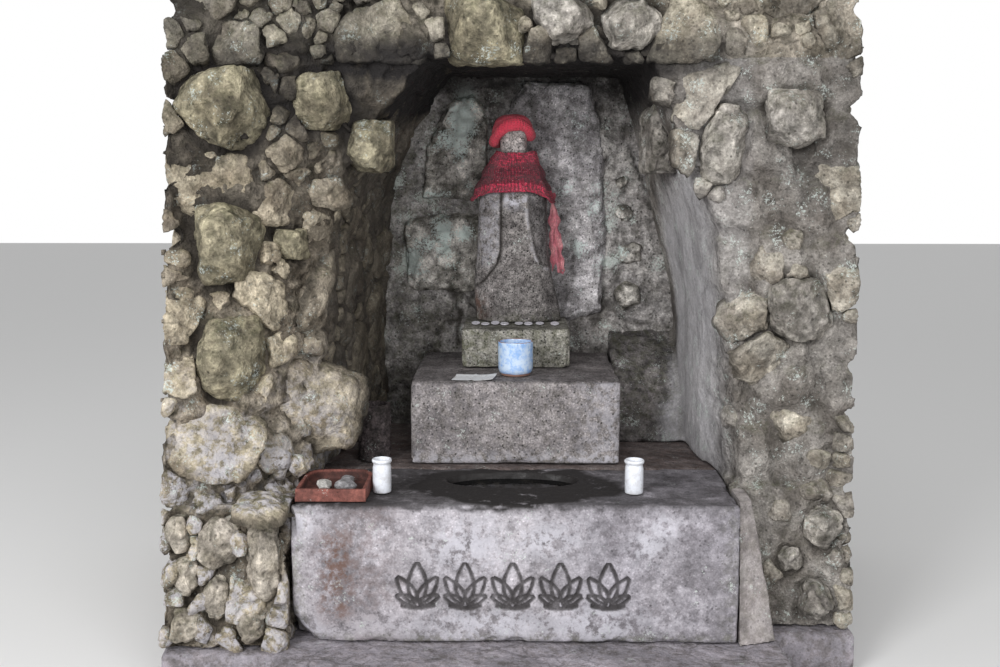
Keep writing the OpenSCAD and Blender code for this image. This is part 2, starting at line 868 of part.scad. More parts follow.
// Rendered jamb at the right, hollowed towards the niche
right_jamb_rows = [
    [0, 0.162, 0.577, 0.175, 1.063, 0.194, 0.922, 0.896],
    [0.19, 0.175, 0.562, 0.185, 1.024, 0.213, 0.922, 0.904],
    [0.36, 0.182, 0.546, 0.195, 0.993, 0.246, 0.935, 0.909],
    [0.52, 0.19, 0.523, 0.208, 0.948, 0.278, 0.896, 0.826],
    [0.64, 0.20, 0.50, 0.223, 0.935, 0.291, 0.865, 0.765],
    [0.80, 0.213, 0.385, 0.235, 0.774, 0.294, 0.752, 0.70],
    [1, 0.234, 0.231, 0.253, 0.622, 0.291, 0.60, 0.57]
];
right_boulder_rock = jamb_rock(altar_side * 0.974, 0.309, 0.80, jamb_t * 0.23, 0.078, 0.102, 71);
right_jamb_rocks = [
    jamb_rock(altar_side * 0.735, 0.57, 0.82, altar_side * 0.113, 0.089, 0.093, 72),
    jamb_rock(side - jamb_t * 0.50, 0.246, 0.86, jamb_t * 0.27, 0.076, 0.073, 73),
    jamb_rock(side - jamb_t * 0.415, 0.225, 0.42, jamb_t * 0.30, 0.066, 0.077, 74)
];

module right_jamb() {
    color([0.47, 0.44, 0.41])
        difference() {
            mirror([1, 0, 0])
                skin([
                    for (row = bed_rows(jamb_bed, head_bed, bed_levels))
                        jamb_ring(right_jamb_rows, row, 2)
                ]);
            right_jamb_stones();
            right_boulder();
        }
}

module right_jamb_stones() {
    color([0.45, 0.42, 0.39])
        rocks(right_jamb_rocks);
}

module right_boulder() {
    color([0.47, 0.44, 0.40])
        rocks([right_boulder_rock]);
}

// Masonry over the niche, battered, and drawn back over the opening
module niche_head() {
    batter = 0.038;
    plan = [[-1, 0.175], [-0.292, 0.276], [0.417, 0.276], [1, 0.23]];
    color([0.46, 0.42, 0.38])
        difference() {
            skin([
                for (row = bed_rows(head_bed, top_bed, bed_levels))
                    let (
                        lean = batter * (row[0] - ceiling_z) / head_h,
                        p = [for (q = plan) [q[0] * side, in_y(q[1] + lean)]],
                        left = [-side, niche_y],
                        right = [side, niche_y]
                    )
                    concat(
                        [face_corner(left, [1, 0], row)],
                        face_run(left, p[0], [1, 0], side_stones, row, 1),
                        [face_corner(p[0], [1, 1], row)],
                        face_run(p[0], p[1], [0, 1], 3, row, 5),
                        [face_corner(p[1], [0, 1], row)],
                        face_run(p[1], p[2], [0, 1], 3, row, 6),
                        [face_corner(p[2], [0, 1], row)],
                        face_run(p[2], p[3], [0, 1], 3, row, 7),
                        [face_corner(p[3], [-1, 1], row)],
                        face_run(p[3], right, [-1, 0], side_stones, row, 2),
                        [face_corner(right, [-1, 0], row)]
                    )
            ]);
            lintel_stone_left();
            lintel_stone_centre();
            lintel_stone_right();
        }
}

// A stone that bridges the front of the ceiling, at shares of the altar's
// half width and of the head's height
module lintel_stone(x, z, half_x, half_z, seed, turn) {
    rock(
        [x * altar_side, in_y(0.315), ceiling_z + z * head_h],
        [half_x * altar_side, 73, half_z * head_h], seed, turn
    );
}

module lintel_stone_left() {
    color([0.52, 0.49, 0.40])
        lintel_stone(-0.157, 0.326, 0.209, 0.41, 81, 6);
}

module lintel_stone_centre() {
    color([0.46, 0.45, 0.42])
        lintel_stone(0.217, 0.41, 0.152, 0.305, 82, -4);
}

module lintel_stone_right() {
    color([0.44, 0.42, 0.39])
        lintel_stone(0.526, 0.39, 0.143, 0.316, 83, 9);
}

// Back wall, from the footing to the top of the masonry
module back_wall() {
    color([0.40, 0.37, 0.34])
        skin([
            for (row = bed_rows(0, top_bed, bed_levels))
                let (
                    rear = rear_y - rear_lean * (row[0] - footing_h) / (head_z - footing_h),
                    left = [-side, rear],
                    right = [side, rear]
                )
                concat(
                    [
                        face_corner(left, [1, -1], row),
                        face_corner([-side, niche_y], [1, 0], row),
                        face_corner([side, niche_y], [-1, 0], row),
                        face_corner(right, [-1, -1], row)
                    ],
                    face_run(right, left, [0, -1], rear_stones, row, 3)
                )
        ]);
}

// A stone of the niche's back, from its outline in shares: x of the altar's
// half width, z of the way from the altar top to the ceiling
module back_stone(outline, thick, bevel) {
    facing([for (p = outline) [p[0] * altar_side, jamb_z(p[1])]], niche_y, thick, bevel);
}

// Large split slab behind the figure
module back_slab() {
    color([0.45, 0.44, 0.43])
        back_stone([
            [-0.10, 0.306], [0.196, 0.284], [0.496, 0.328], [0.522, 0.56], [0.491, 0.863],
            [0.413, 0.995], [0.043, 0.995], [-0.096, 0.896], [-0.113, 0.708]
        ], 28, 22);
}

// Two stones in the left half of the back wall
module back_stone_upper() {
    color([0.42, 0.38, 0.33])
        back_stone([
            [-0.543, 0.655], [-0.26, 0.644], [-0.152, 0.71], [-0.143, 0.898],
            [-0.239, 0.964], [-0.391, 0.94], [-0.513, 0.81]
        ], 26, 18);
}

module back_stone_lower() {
    color([0.36, 0.37, 0.32])
        back_stone([
            [-0.652, 0.394], [-0.196, 0.381], [-0.152, 0.527], [-0.17, 0.615],
            [-0.413, 0.626], [-0.643, 0.60]
        ], 30, 20);
}

// Rounded stones bedded in the mortar of the right half
module back_stones_right() {
    beds = [[0.639, 0.38, 42], [0.652, 0.50, 36], [0.604, 0.62, 28], [0.60, 0.71, 22]];
    color([0.44, 0.44, 0.40])
        for (p = beds)
            facing(
                [
                    for (k = [0:9])
                        let (t = 36 * k, r = p[2] * (0.76 + 0.38 * chance(k, p[2], 3)))
                        [p[0] * altar_side + r * cos(t) * 1.05, jamb_z(p[1]) + r * sin(t)]
                ],
                niche_y, 22, p[2] * 0.28
            );
}

// Sloping toe of mortar at the foot of the back wall, right of the block
module back_toe() {
    x0 = middle_w / 2 + 8;
    x1 = altar_side * 0.887;
    depth = run * 0.289;
    rise = altar_h * 0.85;
    steps = [for (i = [0:5]) i / 5];
    color([0.36, 0.32, 0.29])
        translate([x0, niche_y, altar_z])
            rotate([90, 0, 90])
                linear_extrude(x1 - x0)
                    polygon(concat(
                        [[0, 0]],
                        [for (u = steps) [-depth * (1 - pow(u, 1.6)) - 4, rise * u]],
                        [[0, rise]]
                    ));
}

// Rough coping that sheds the rain. Its rows run across the wall from the
// back to the front, and the first and the last one are its low ends
module coping() {
    inset = 10;
    shoulder = [16, 0.5];
    crest = 60;
    low = 0.62;
    back = rear_y - rear_lean - inset;
    front = in_y(0.265);
    levels = [for (b = [0:coping_courses]) (back - front) * b / coping_courses - back];
    rows = bed_rows(0, coping_courses, levels);
    color([0.44, 0.41, 0.37])
        rotate([90, 0, 0])
            skin([
                for (i = [0:len(rows) - 1])
                    let (
                        row = rows[i],
                        end = i == 0 || i == len(rows) - 1,
                        top = head_z + coping_h * (end ? low : 1),
                        right = [side - crest, top],
                        left = [-side + crest, top],
                        step = head_z + coping_h * (end ? 0.8 : 1) * shoulder[1]
                    )
                    concat(
                        [
                            [-side + inset, head_z, row[0]], [side - inset, head_z, row[0]],
                            [side - shoulder[0], step, row[0]],
                            face_corner(right, [-0.5, -0.5], row)
                        ],
                        face_run(right, left, [0, -1], rear_stones, row, 4),
                        [
                            face_corner(left, [0.5, -0.5], row),
                            [-side + shoulder[0], step, row[0]]
                        ]
                    )
            ]);
}

footing();
altar_block();
podium_fill();
middle_block();
plinth_block();
statue_body();
statue_head();
knitted_cap();
knitted_bib();
bib_tail();
tea_cup();
offering_paper();
vase_left();
vase_right();
terracotta_tray();
tray_pebbles();
coins();
flower_vase();
left_base();
left_base_stones();
left_jamb();
left_jamb_stones();
left_head_stone();
right_base();
right_base_stones();
right_fillet();
right_jamb();
right_jamb_stones();
right_boulder();
niche_head();
lintel_stone_left();
lintel_stone_centre();
lintel_stone_right();
back_wall();
back_slab();
back_stone_upper();
back_stone_lower();
back_stones_right();
back_toe();
coping();
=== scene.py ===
"""Looks of the wayside shrine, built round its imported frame.

Lengths are metres in the frame's axes: X to the right, Y into the niche, Z up.
Each sub-assembly is a class that builds its meshes and dresses them.
"""

import logging
import math
from dataclasses import dataclass, field
from enum import Enum

import bmesh
import bpy
import numpy as np
from mathutils import Matrix, Vector
from mathutils.bvhtree import BVHTree


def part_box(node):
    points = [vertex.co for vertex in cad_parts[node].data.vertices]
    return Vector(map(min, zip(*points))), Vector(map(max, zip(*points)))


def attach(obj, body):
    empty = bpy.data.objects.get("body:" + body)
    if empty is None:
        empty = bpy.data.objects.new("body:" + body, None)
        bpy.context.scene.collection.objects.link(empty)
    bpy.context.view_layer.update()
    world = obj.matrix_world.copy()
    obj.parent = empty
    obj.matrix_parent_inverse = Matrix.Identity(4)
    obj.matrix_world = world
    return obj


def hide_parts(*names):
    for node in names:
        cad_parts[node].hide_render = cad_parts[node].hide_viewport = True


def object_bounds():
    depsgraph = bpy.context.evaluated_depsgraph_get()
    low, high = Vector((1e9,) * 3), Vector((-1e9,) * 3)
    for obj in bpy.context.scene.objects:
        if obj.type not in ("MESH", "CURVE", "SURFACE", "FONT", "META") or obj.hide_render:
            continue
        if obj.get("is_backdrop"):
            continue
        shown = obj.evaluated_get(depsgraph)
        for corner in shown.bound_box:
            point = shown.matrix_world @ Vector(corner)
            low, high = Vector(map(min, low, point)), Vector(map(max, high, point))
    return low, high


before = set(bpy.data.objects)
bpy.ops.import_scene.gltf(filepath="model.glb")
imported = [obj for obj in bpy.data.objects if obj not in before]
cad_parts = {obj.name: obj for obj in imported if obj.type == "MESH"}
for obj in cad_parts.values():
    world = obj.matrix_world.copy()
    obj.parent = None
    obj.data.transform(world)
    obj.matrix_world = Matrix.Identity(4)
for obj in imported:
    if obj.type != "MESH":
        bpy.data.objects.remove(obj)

LOG = logging.getLogger("shrine")
Colour = tuple[float, float, float]
Point = tuple[float, float, float]
Array = np.ndarray
Obj = bpy.types.Object
Material = bpy.types.Material
Node = bpy.types.Node
NodeTree = bpy.types.NodeTree
Socket = bpy.types.NodeSocket
Vert = bmesh.types.BMVert
BODY = "root"
TAU = 2 * math.pi


class Noise:
    """Seeded noise worked out over whole arrays of points."""

    @staticmethod
    def _hash(cell: Array, seed: int) -> Array:
        """Gives each integer cell a value from 0 to 1.

        Args:
            cell: Integer cells, shape (n, 3).
            seed: Number that sets the pattern.

        Returns:
            One value a cell.
        """
        c = cell.astype(np.int64).astype(np.uint32)
        h = c[:, 0] * np.uint32(0x8DA6B343)
        h ^= c[:, 1] * np.uint32(0xD8163841)
        h ^= c[:, 2] * np.uint32(0xCB1AB31F)
        h ^= np.uint32((seed * 0x9E3779B9) & 0xFFFFFFFF)
        h ^= h >> np.uint32(15)
        h *= np.uint32(0x85EBCA6B)
        h ^= h >> np.uint32(13)
        h *= np.uint32(0xC2B2AE35)
        h ^= h >> np.uint32(16)
        return h.astype(np.float64) / 2**32

    @classmethod
    def smooth(cls, points: Array, size: float, seed: int) -> Array:
        """Smooth noise from -1 to 1.

        Args:
            points: Places, shape (n, 3).
            size: Width of a lump.
            seed: Number that sets the pattern.

        Returns:
            One value a point.
        """
        scaled = points / size
        low = np.floor(scaled)
        part = scaled - low
        ease = part * part * (3 - 2 * part)
        total = np.zeros(len(points))
        for corner in np.ndindex(2, 2, 2):
            step = np.array(corner)
            weight = np.prod(np.where(step, ease, 1 - ease), axis=1)
            total += weight * cls._hash(low + step, seed)
        return total * 2 - 1

    @classmethod
    def fractal(cls, points: Array, size: float, seed: int, octaves: int = 4) -> Array:
        """Noise summed over octaves, about -1 to 1.

        Args:
            points: Places, shape (n, 3).
            size: Width of the largest lumps.
            seed: Number that sets the pattern.
            octaves: How many times the lumps are halved.

        Returns:
            One value a point.
        """
        total = np.zeros(len(points))
        reach = 0.0
        for k in range(octaves):
            share = 0.5**k
            total += share * cls.smooth(points, size * share, seed + 17 * k)
            reach += share
        return total / reach

    @classmethod
    def cells(cls, points: Array, size: float, seed: int) -> tuple[Array, Array, Array]:
        """Breaks space into rounded cells, as bedded stones fill a wall.

        Args:
            points: Places, shape (n, 3).
            size: Mean width of a cell.
            seed: Number that sets the pattern.

        Returns:
            Distance in from the cell's edge, the cell's own value from 0 to
            1, and the offset from the cell's centre.
        """
        scaled = points / size
        low = np.floor(scaled)
        first = np.full(len(points), 9.0)
        second = np.full(len(points), 9.0)
        tone = np.zeros(len(points))
        offset = np.zeros_like(points)
        for corner in np.ndindex(3, 3, 3):
            cell = low + np.array(corner) - 1
            own = cls._hash(cell, seed)
            place = cell + np.stack([own, cls._hash(cell, seed + 1), cls._hash(cell, seed + 2)], axis=1)
            away = scaled - place
            gap = np.linalg.norm(away, axis=1)
            nearer = gap < first
            second = np.where(nearer, first, np.minimum(second, gap))
            offset[nearer] = away[nearer]
            tone = np.where(nearer, cls._hash(cell, seed + 3), tone)
            first = np.minimum(first, gap)
        return (second - first) * size * 0.5, tone, offset * size


def ramp(value: Array, low: float, high: float) -> Array:
    """Eases from 0 at low to 1 at high."""
    t = np.clip((value - low) / (high - low), 0, 1)
    return t * t * (3 - 2 * t)


class Skin:
    """A mesh's points and normals as arrays, to be pushed and painted."""

    def __init__(self, obj: Obj) -> None:
        """Reads the mesh of an object that sits at the origin.

        Args:
            obj: The object.
        """
        self.obj = obj
        self.mesh = obj.data
        count = len(self.mesh.vertices)
        self.points = np.empty(count * 3)
        self.mesh.vertices.foreach_get("co", self.points)
        self.points = self.points.reshape(-1, 3)
        self.normals = np.empty(count * 3)
        self.mesh.vertices.foreach_get("normal", self.normals)
        self.normals = self.normals.reshape(-1, 3)

    def noise(self, size: float, seed: int, octaves: int = 4) -> Array:
        """Returns noise with lumps of that size at the points, about -1 to 1."""
        return Noise.fractal(self.points, size, seed, octaves)

    def push(self, amount: Array) -> None:
        """Moves each point along its first normal by amount."""
        self.points = self.points + self.normals * amount[:, None]

    def paint(self, name: str, values: Array) -> None:
        """Stores one value a point for the materials to read.

        Args:
            name: Name of the mask.
            values: One value a point.
        """
        old = self.mesh.attributes.get(name)
        layer = old or self.mesh.attributes.new(name, "FLOAT", "POINT")
        layer.data.foreach_set("value", np.asarray(values, dtype=np.float32))

    def store(self, smooth: bool = True) -> None:
        """Writes the points back and shades the faces.

        Args:
            smooth: Whether the faces shade smoothly.
        """
        self.mesh.vertices.foreach_set("co", self.points.reshape(-1))
        self.mesh.polygons.foreach_set("use_smooth", [smooth] * len(self.mesh.polygons))
        self.mesh.update()


def new_object(name: str, points: list | Array, faces: list) -> Obj:
    """Makes a mesh object in the scene.

    Args:
        name: Name of the object.
        points: Places of its points.
        faces: Point numbers of its faces.

    Returns:
        The new object.
    """
    mesh = bpy.data.meshes.new(name)
    mesh.from_pydata([tuple(p) for p in points], [], faces)
    mesh.update()
    obj = bpy.data.objects.new(name, mesh)
    bpy.context.scene.collection.objects.link(obj)
    return obj


def from_nodes(name: str, nodes: list[str]) -> Obj:
    """Copies CAD nodes into one new mesh object.

    Args:
        name: Name of the object.
        nodes: Names of the CAD nodes.

    Returns:
        The new object, with doubled points merged.
    """
    build = bmesh.new()
    for node in nodes:
        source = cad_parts[node]
        part = source.data.copy()
        part.transform(source.matrix_world)
        build.from_mesh(part)
        bpy.data.meshes.remove(part)
    bmesh.ops.remove_doubles(build, verts=build.verts, dist=1e-6)
    mesh = bpy.data.meshes.new(name)
    build.to_mesh(mesh)
    build.free()
    obj = bpy.data.objects.new(name, mesh)
    bpy.context.scene.collection.objects.link(obj)
    return obj


def grid_faces(rows: int, across: int, closed: bool = False) -> list[tuple[int, ...]]:
    """Makes the faces of a grid of points that is listed row by row.

    Args:
        rows: How many rows of points there are.
        across: How many points a row has.
        closed: Whether each row ends where it starts.

    Returns:
        The four corners of each face.
    """
    faces = []
    for j in range(rows - 1):
        for i in range(across if closed else across - 1):
            this, after = j * across + i, j * across + (i + 1) % across
            faces.append((this, after, after + across, this + across))
    return faces


def search_tree(nodes: list[str]) -> BVHTree:
    """Returns the faces of some nodes, ready for a search of the nearest.

    Args:
        nodes: Names of the CAD nodes.

    Returns:
        The search tree, which outlives its mesh.
    """
    near = from_nodes("searched_faces", nodes)
    tree = BVHTree.FromObject(near, bpy.context.evaluated_depsgraph_get())
    bpy.data.objects.remove(near)
    return tree


def solids(nodes: list[str]) -> bmesh.types.BMesh:
    """Returns the CAD's solids of some nodes, to be searched and freed.

    Args:
        nodes: Names of the CAD nodes.

    Returns:
        The mesh.
    """
    source = from_nodes("searched_solids", nodes)
    build = bmesh.new()
    build.from_mesh(source.data)
    bpy.data.objects.remove(source)
    return build


def islands(build: bmesh.types.BMesh, kept: set[Vert] | None = None) -> list[list[Vert]]:
    """Finds the points that hang together by edges.

    Args:
        build: The mesh.
        kept: The points that count, or None for all of them.

    Returns:
        The points of each island.
    """
    found: list[list[Vert]] = []
    seen: set[Vert] = set()
    for first in build.verts:
        if first in seen or (kept is not None and first not in kept):
            continue
        stack = [first]
        group = []
        while stack:
            vert = stack.pop()
            if vert in seen:
                continue
            seen.add(vert)
            group.append(vert)
            around = (e.other_vert(vert) for e in vert.link_edges)
            stack += [v for v in around if kept is None or v in kept]
        found.append(group)
    return found


def apply_modifiers(obj: Obj) -> Obj:
    """Makes the modifiers' result the object's own mesh.

    Args:
        obj: The object.

    Returns:
        The same object.
    """
    graph = bpy.context.evaluated_depsgraph_get()
    mesh = bpy.data.meshes.new_from_object(obj.evaluated_get(graph))
    obj.modifiers.clear()
    old = obj.data
    obj.data = mesh
    bpy.data.meshes.remove(old)
    return obj


def remeshed(obj: Obj, voxel: float) -> Obj:
    """Gives the object an even skin of small quads.

    Args:
        obj: The object.
        voxel: Width of a quad.

    Returns:
        The same object.
    """
    skin = obj.modifiers.new("skin", "REMESH")
    skin.mode = "VOXEL"
    skin.voxel_size = voxel
    return apply_modifiers(obj)


def keep_faces(obj: Obj, keep: Array) -> None:
    """Deletes the faces whose mask is false.

    Args:
        obj: The object.
        keep: One truth a face.
    """
    build = bmesh.new()
    build.from_mesh(obj.data)
    build.faces.ensure_lookup_table()
    gone = [f for f, k in zip(build.faces, keep) if not k]
    bmesh.ops.delete(build, geom=gone, context="FACES")
    build.to_mesh(obj.data)
    build.free()


def face_centres(obj: Obj) -> Array:
    """Returns the middle of each face, shape (n, 3)."""
    out = np.empty(len(obj.data.polygons) * 3)
    obj.data.polygons.foreach_get("center", out)
    return out.reshape(-1, 3)


def split_off(obj: Obj, name: str, mask: Array) -> Obj:
    """Copies an object and shares its faces between the two.

    Args:
        obj: The object that keeps the faces outside the mask.
        name: Name of the new object.
        mask: One truth a face.

    Returns:
        The new object, with the faces in the mask.
    """
    part = obj.copy()
    part.data = obj.data.copy()
    part.name = name
    bpy.context.scene.collection.objects.link(part)
    keep_faces(part, mask)
    keep_faces(obj, ~mask)
    return part


class Graph:
    """A node tree being wired, with short calls for what the finishes need."""

    def __init__(self, tree: NodeTree) -> None:
        """Keeps the tree that the calls add to."""
        self.tree = tree

    def node(self, kind: str, inputs: dict | None = None, **settings: object) -> Node:
        """Adds a node.

        Args:
            kind: Blender's name of the node's type.
            inputs: Values or sockets by input name or number.
            settings: Properties of the node.

        Returns:
            The new node.
        """
        made = self.tree.nodes.new(kind)
        for key, value in settings.items():
            setattr(made, key, value)
        for key, value in (inputs or {}).items():
            self.feed(made.inputs[key], value)
        return made

    def feed(self, socket: Socket, value: object) -> None:
        """Links a socket to the input, or sets the input's value.

        Args:
            socket: The input.
            value: A socket, a colour or a number.
        """
        if isinstance(value, Socket):
            self.tree.links.new(value, socket)
        elif isinstance(value, tuple) and socket.type == "RGBA":
            socket.default_value = (*value[:3], 1.0)
        else:
            socket.default_value = value

    def math(self, kind: str, a: object, b: object = 0.0, clamp: bool = False) -> Socket:
        """Returns the result of a Math node."""
        return self.node("ShaderNodeMath", {0: a, 1: b}, operation=kind, use_clamp=clamp).outputs[0]

    def plus(self, a: object, b: object) -> Socket:
        """Returns a + b."""
        return self.math("ADD", a, b)

    def minus(self, a: object, b: object) -> Socket:
        """Returns a - b."""
        return self.math("SUBTRACT", a, b)

    def times(self, a: object, b: object) -> Socket:
        """Returns a * b."""
        return self.math("MULTIPLY", a, b)

    def peak(self, a: object, b: object) -> Socket:
        """Returns the larger of a and b."""
        return self.math("MAXIMUM", a, b)

    def mix(self, share: object, a: object, b: object, blend: str = "MIX") -> Socket:
        """Returns a colour between a and b."""
        inputs = {0: share, 6: a, 7: b}
        return self.node("ShaderNodeMix", inputs, data_type="RGBA", blend_type=blend).outputs[2]

    def between(self, value: object, low: float, high: float) -> Socket:
        """Returns the value eased from 0 at low to 1 at high."""
        inputs = {0: value, 1: low, 2: high}
        return self.node("ShaderNodeMapRange", inputs, interpolation_type="SMOOTHSTEP").outputs[0]

    def vector(self, kind: str, inputs: dict) -> Socket:
        """Returns the result of a Vector Math node."""
        return self.node("ShaderNodeVectorMath", inputs, operation=kind).outputs[0]

    def lumps(
        self, place: object, scale: object, detail: float = 2.0, rough: float = 0.5, output: int = 0,
        bend: float = 0.0,
    ) -> Socket:
        """Returns one output of a noise texture of that scale."""
        inputs = {"Vector": place, "Scale": scale, "Detail": detail, "Roughness": rough, "Distortion": bend}
        return self.node("ShaderNodeTexNoise", inputs).outputs[output]

    def noise(self, place: object, size: float, detail: float = 3.0, rough: float = 0.55) -> Socket:
        """Returns noise with lumps of that size, from 0 to 1."""
        return self.lumps(place, 1 / size, detail, rough)

    def cells(self, place: object, scale: object, feature: str = "F1") -> Node:
        """Adds a texture of cells of that scale."""
        return self.node("ShaderNodeTexVoronoi", {"Vector": place, "Scale": scale}, feature=feature)

    def chance(self, cells: Node, channel: int, low: float, high: float) -> Socket:
        """Returns a mask of the cells whose own colour lies past low and high."""
        own = self.node("ShaderNodeSeparateColor", {0: cells.outputs[1]}).outputs[channel]
        return self.between(own, low, high)

    def place(self) -> Socket:
        """Returns the object's own coordinates."""
        return self.node("ShaderNodeTexCoord").outputs["Object"]

    def mask(self, name: str) -> Socket:
        """Returns a mask that the mesh was painted with."""
        return self.node("ShaderNodeAttribute", attribute_name=name).outputs["Fac"]

    def bump(self, shader: Node, height: object, distance: float) -> None:
        """Lets a height raise a shader's surface, by up to that distance."""
        made = self.node("ShaderNodeBump", {"Height": height, "Distance": distance})
        self.feed(shader.inputs["Normal"], made.outputs[0])


def group_tree(name: str, inputs: dict[str, object], outputs: tuple[str, ...]) -> tuple[Graph, dict, Node]:
    """Starts a shader node group.

    Args:
        name: Name of the group.
        inputs: Default value by input name; a tuple makes a colour.
        outputs: Names of the outputs, all of them numbers.

    Returns:
        The group's graph, its input sockets by name, and its output node.
    """
    tree = bpy.data.node_groups.new(name, "ShaderNodeTree")
    for label, value in inputs.items():
        kind = "NodeSocketFloat"
        if value is None:
            kind = "NodeSocketVector"
        elif isinstance(value, tuple):
            kind = "NodeSocketColor"
        made = tree.interface.new_socket(label, in_out="INPUT", socket_type=kind)
        if kind == "NodeSocketColor":
            made.default_value = (*value, 1.0)
        elif kind == "NodeSocketFloat":
            made.default_value = value
    for label in outputs:
        tree.interface.new_socket(label, in_out="OUTPUT", socket_type="NodeSocketFloat")
    start = tree.nodes.new("NodeGroupInput")
    end = tree.nodes.new("NodeGroupOutput")
    return Graph(tree), {s.name: s for s in start.outputs if s.name}, end


class Effects:
    """The node groups that the finishes share, each made once.

    Attributes:
        _made: The groups that are built already, by name.
    """

    _made: dict[str, NodeTree] = {}

    @classmethod
    def use(cls, graph: Graph, name: str, **inputs: object) -> Node:
        """Places a shared group in a material.

        Args:
            graph: The material's graph.
            name: Name of the effect, one of this class's builders.
            inputs: Values or sockets by input name.

        Returns:
            The group's node in the material.
        """
        if name not in cls._made:
            cls._made[name] = getattr(cls, name)()
        node = graph.tree.nodes.new("ShaderNodeGroup")
        node.node_tree = cls._made[name]
        for key, value in inputs.items():
            graph.feed(node.inputs[key.replace("_", " ").title()], value)
        return node

    @staticmethod
    def speckle() -> NodeTree:
        """Builds the grain of cast or cut stone: dark pits and pale flecks."""
        graph, given, end = group_tree(
            "speckle", {"Place": None, "Scale": 300.0, "Amount": 0.5}, ("Shade", "Height")
        )
        place, scale, amount = given["Place"], given["Scale"], given["Amount"]
        fine = graph.lumps(place, scale, 2.0, 0.7)
        coarse = graph.lumps(place, graph.times(scale, 0.3), 3.0, 0.65)
        both = graph.plus(graph.times(fine, 0.6), graph.times(coarse, 0.4))
        light = graph.plus(1.0, graph.times(graph.times(graph.minus(both, 0.5), 4.2), amount))
        pits = graph.cells(place, graph.times(scale, 0.5))
        some = graph.chance(pits, 0, 0.55, 0.70)
        hole = graph.times(graph.times(graph.between(pits.outputs[0], 0.34, 0.14), some), amount)
        flecks = graph.cells(place, graph.times(scale, 0.8))
        few = graph.chance(flecks, 1, 0.78, 0.90)
        fleck = graph.times(graph.times(graph.between(flecks.outputs[0], 0.42, 0.20), few), amount)
        shade = graph.times(light, graph.minus(1.0, graph.times(hole, 0.85)))
        shade = graph.plus(shade, graph.times(fleck, 0.8))
        graph.feed(end.inputs["Shade"], graph.peak(shade, 0.12))
        graph.feed(end.inputs["Height"], both)
        return graph.tree

    @staticmethod
    def crags() -> NodeTree:
        """Builds broken stone: painted shade in the hollows, a painted highlight on the crests, and their
        height.
        """
        graph, given, end = group_tree(
            "crags", {"Place": None, "Scale": 20.0, "Amount": 0.5}, ("Shade", "Height")
        )
        place, scale = given["Place"], given["Scale"]
        base = graph.lumps(place, scale, 5.0, 0.68, bend=0.35)
        chip = graph.cells(place, graph.times(scale, 2.6)).outputs[0]
        height = graph.plus(graph.times(base, 1.5), graph.times(chip, 0.35))
        # Painted shade in the hollows and painted highlight on the crests.
        low = graph.node("ShaderNodeMapRange", {0: height, 1: 0.62, 2: 1.20, 3: -1.0, 4: 1.0}).outputs[0]
        graph.feed(end.inputs["Shade"], graph.plus(1.0, graph.times(low, given["Amount"])))
        graph.feed(end.inputs["Height"], height)
        return graph.tree

    @staticmethod
    def cracks() -> NodeTree:
        """Builds thin broken cracks."""
        graph, given, end = group_tree(
            "cracks", {"Place": None, "Scale": 9.0, "Width": 0.03, "Amount": 0.8}, ("Mask",)
        )
        place, scale = given["Place"], given["Scale"]
        warp = graph.lumps(place, graph.times(scale, 1.6), 3.0, output=1)
        shift = graph.vector("SCALE", {0: warp, "Scale": graph.math("DIVIDE", 0.55, scale)})
        bent = graph.vector("ADD", {0: place, 1: shift})
        edge = graph.cells(bent, scale, "DISTANCE_TO_EDGE").outputs["Distance"]
        line = graph.node(
            "ShaderNodeMapRange", {0: edge, 1: 0.0, 2: given["Width"], 3: 1.0, 4: 0.0}
        ).outputs[0]
        parts = graph.lumps(place, graph.times(scale, 0.7), 1.0)
        mask = graph.times(line, graph.between(parts, 0.44, 0.56))
        graph.feed(end.inputs["Mask"], graph.times(mask, given["Amount"]))
        return graph.tree

    @staticmethod
    def lichen() -> NodeTree:
        """Builds ragged round patches, as crusts of lichen grow."""
        graph, given, end = group_tree("lichen", {"Place": None, "Scale": 18.0, "Cover": 0.4}, ("Mask",))
        place, scale = given["Place"], given["Scale"]
        warp = graph.lumps(place, graph.times(scale, 2.6), 2.0, output=1)
        bent = graph.vector("ADD", {0: place, 1: graph.vector("SCALE", {0: warp, "Scale": 0.05})})
        spots = graph.cells(bent, scale).outputs[0]
        regions = graph.lumps(place, graph.times(scale, 0.35), 1.0)
        limit = graph.times(given["Cover"], graph.times(regions, 1.6))
        crumbs = graph.lumps(place, graph.times(scale, 11.0), 4.0, 0.75)
        ragged = graph.plus(graph.minus(limit, spots), graph.times(graph.minus(crumbs, 0.5), 2.6))
        graph.feed(end.inputs["Mask"], graph.between(ragged, 0.0, 0.16))
        return graph.tree

    @staticmethod
    def streaks() -> NodeTree:
        """Builds stains that run down a face."""
        graph, given, end = group_tree("streaks", {"Place": None, "Scale": 14.0, "Amount": 0.5}, ("Mask",))
        drawn = graph.vector("MULTIPLY", {0: given["Place"], 1: (1.0, 1.0, 0.28)})
        runs = graph.lumps(drawn, given["Scale"], 3.0, 0.62)
        graph.feed(end.inputs["Mask"], graph.times(graph.between(runs, 0.48, 0.72), given["Amount"]))
        return graph.tree


def material(name: str) -> tuple[Material, Graph, Node]:
    """Starts a material.

    Args:
        name: Name of the material.

    Returns:
        The material, its graph and its Principled node.
    """
    made = bpy.data.materials.new(name)
    made.use_nodes = True
    tree = made.node_tree
    return made, Graph(tree), next(n for n in tree.nodes if n.type == "BSDF_PRINCIPLED")


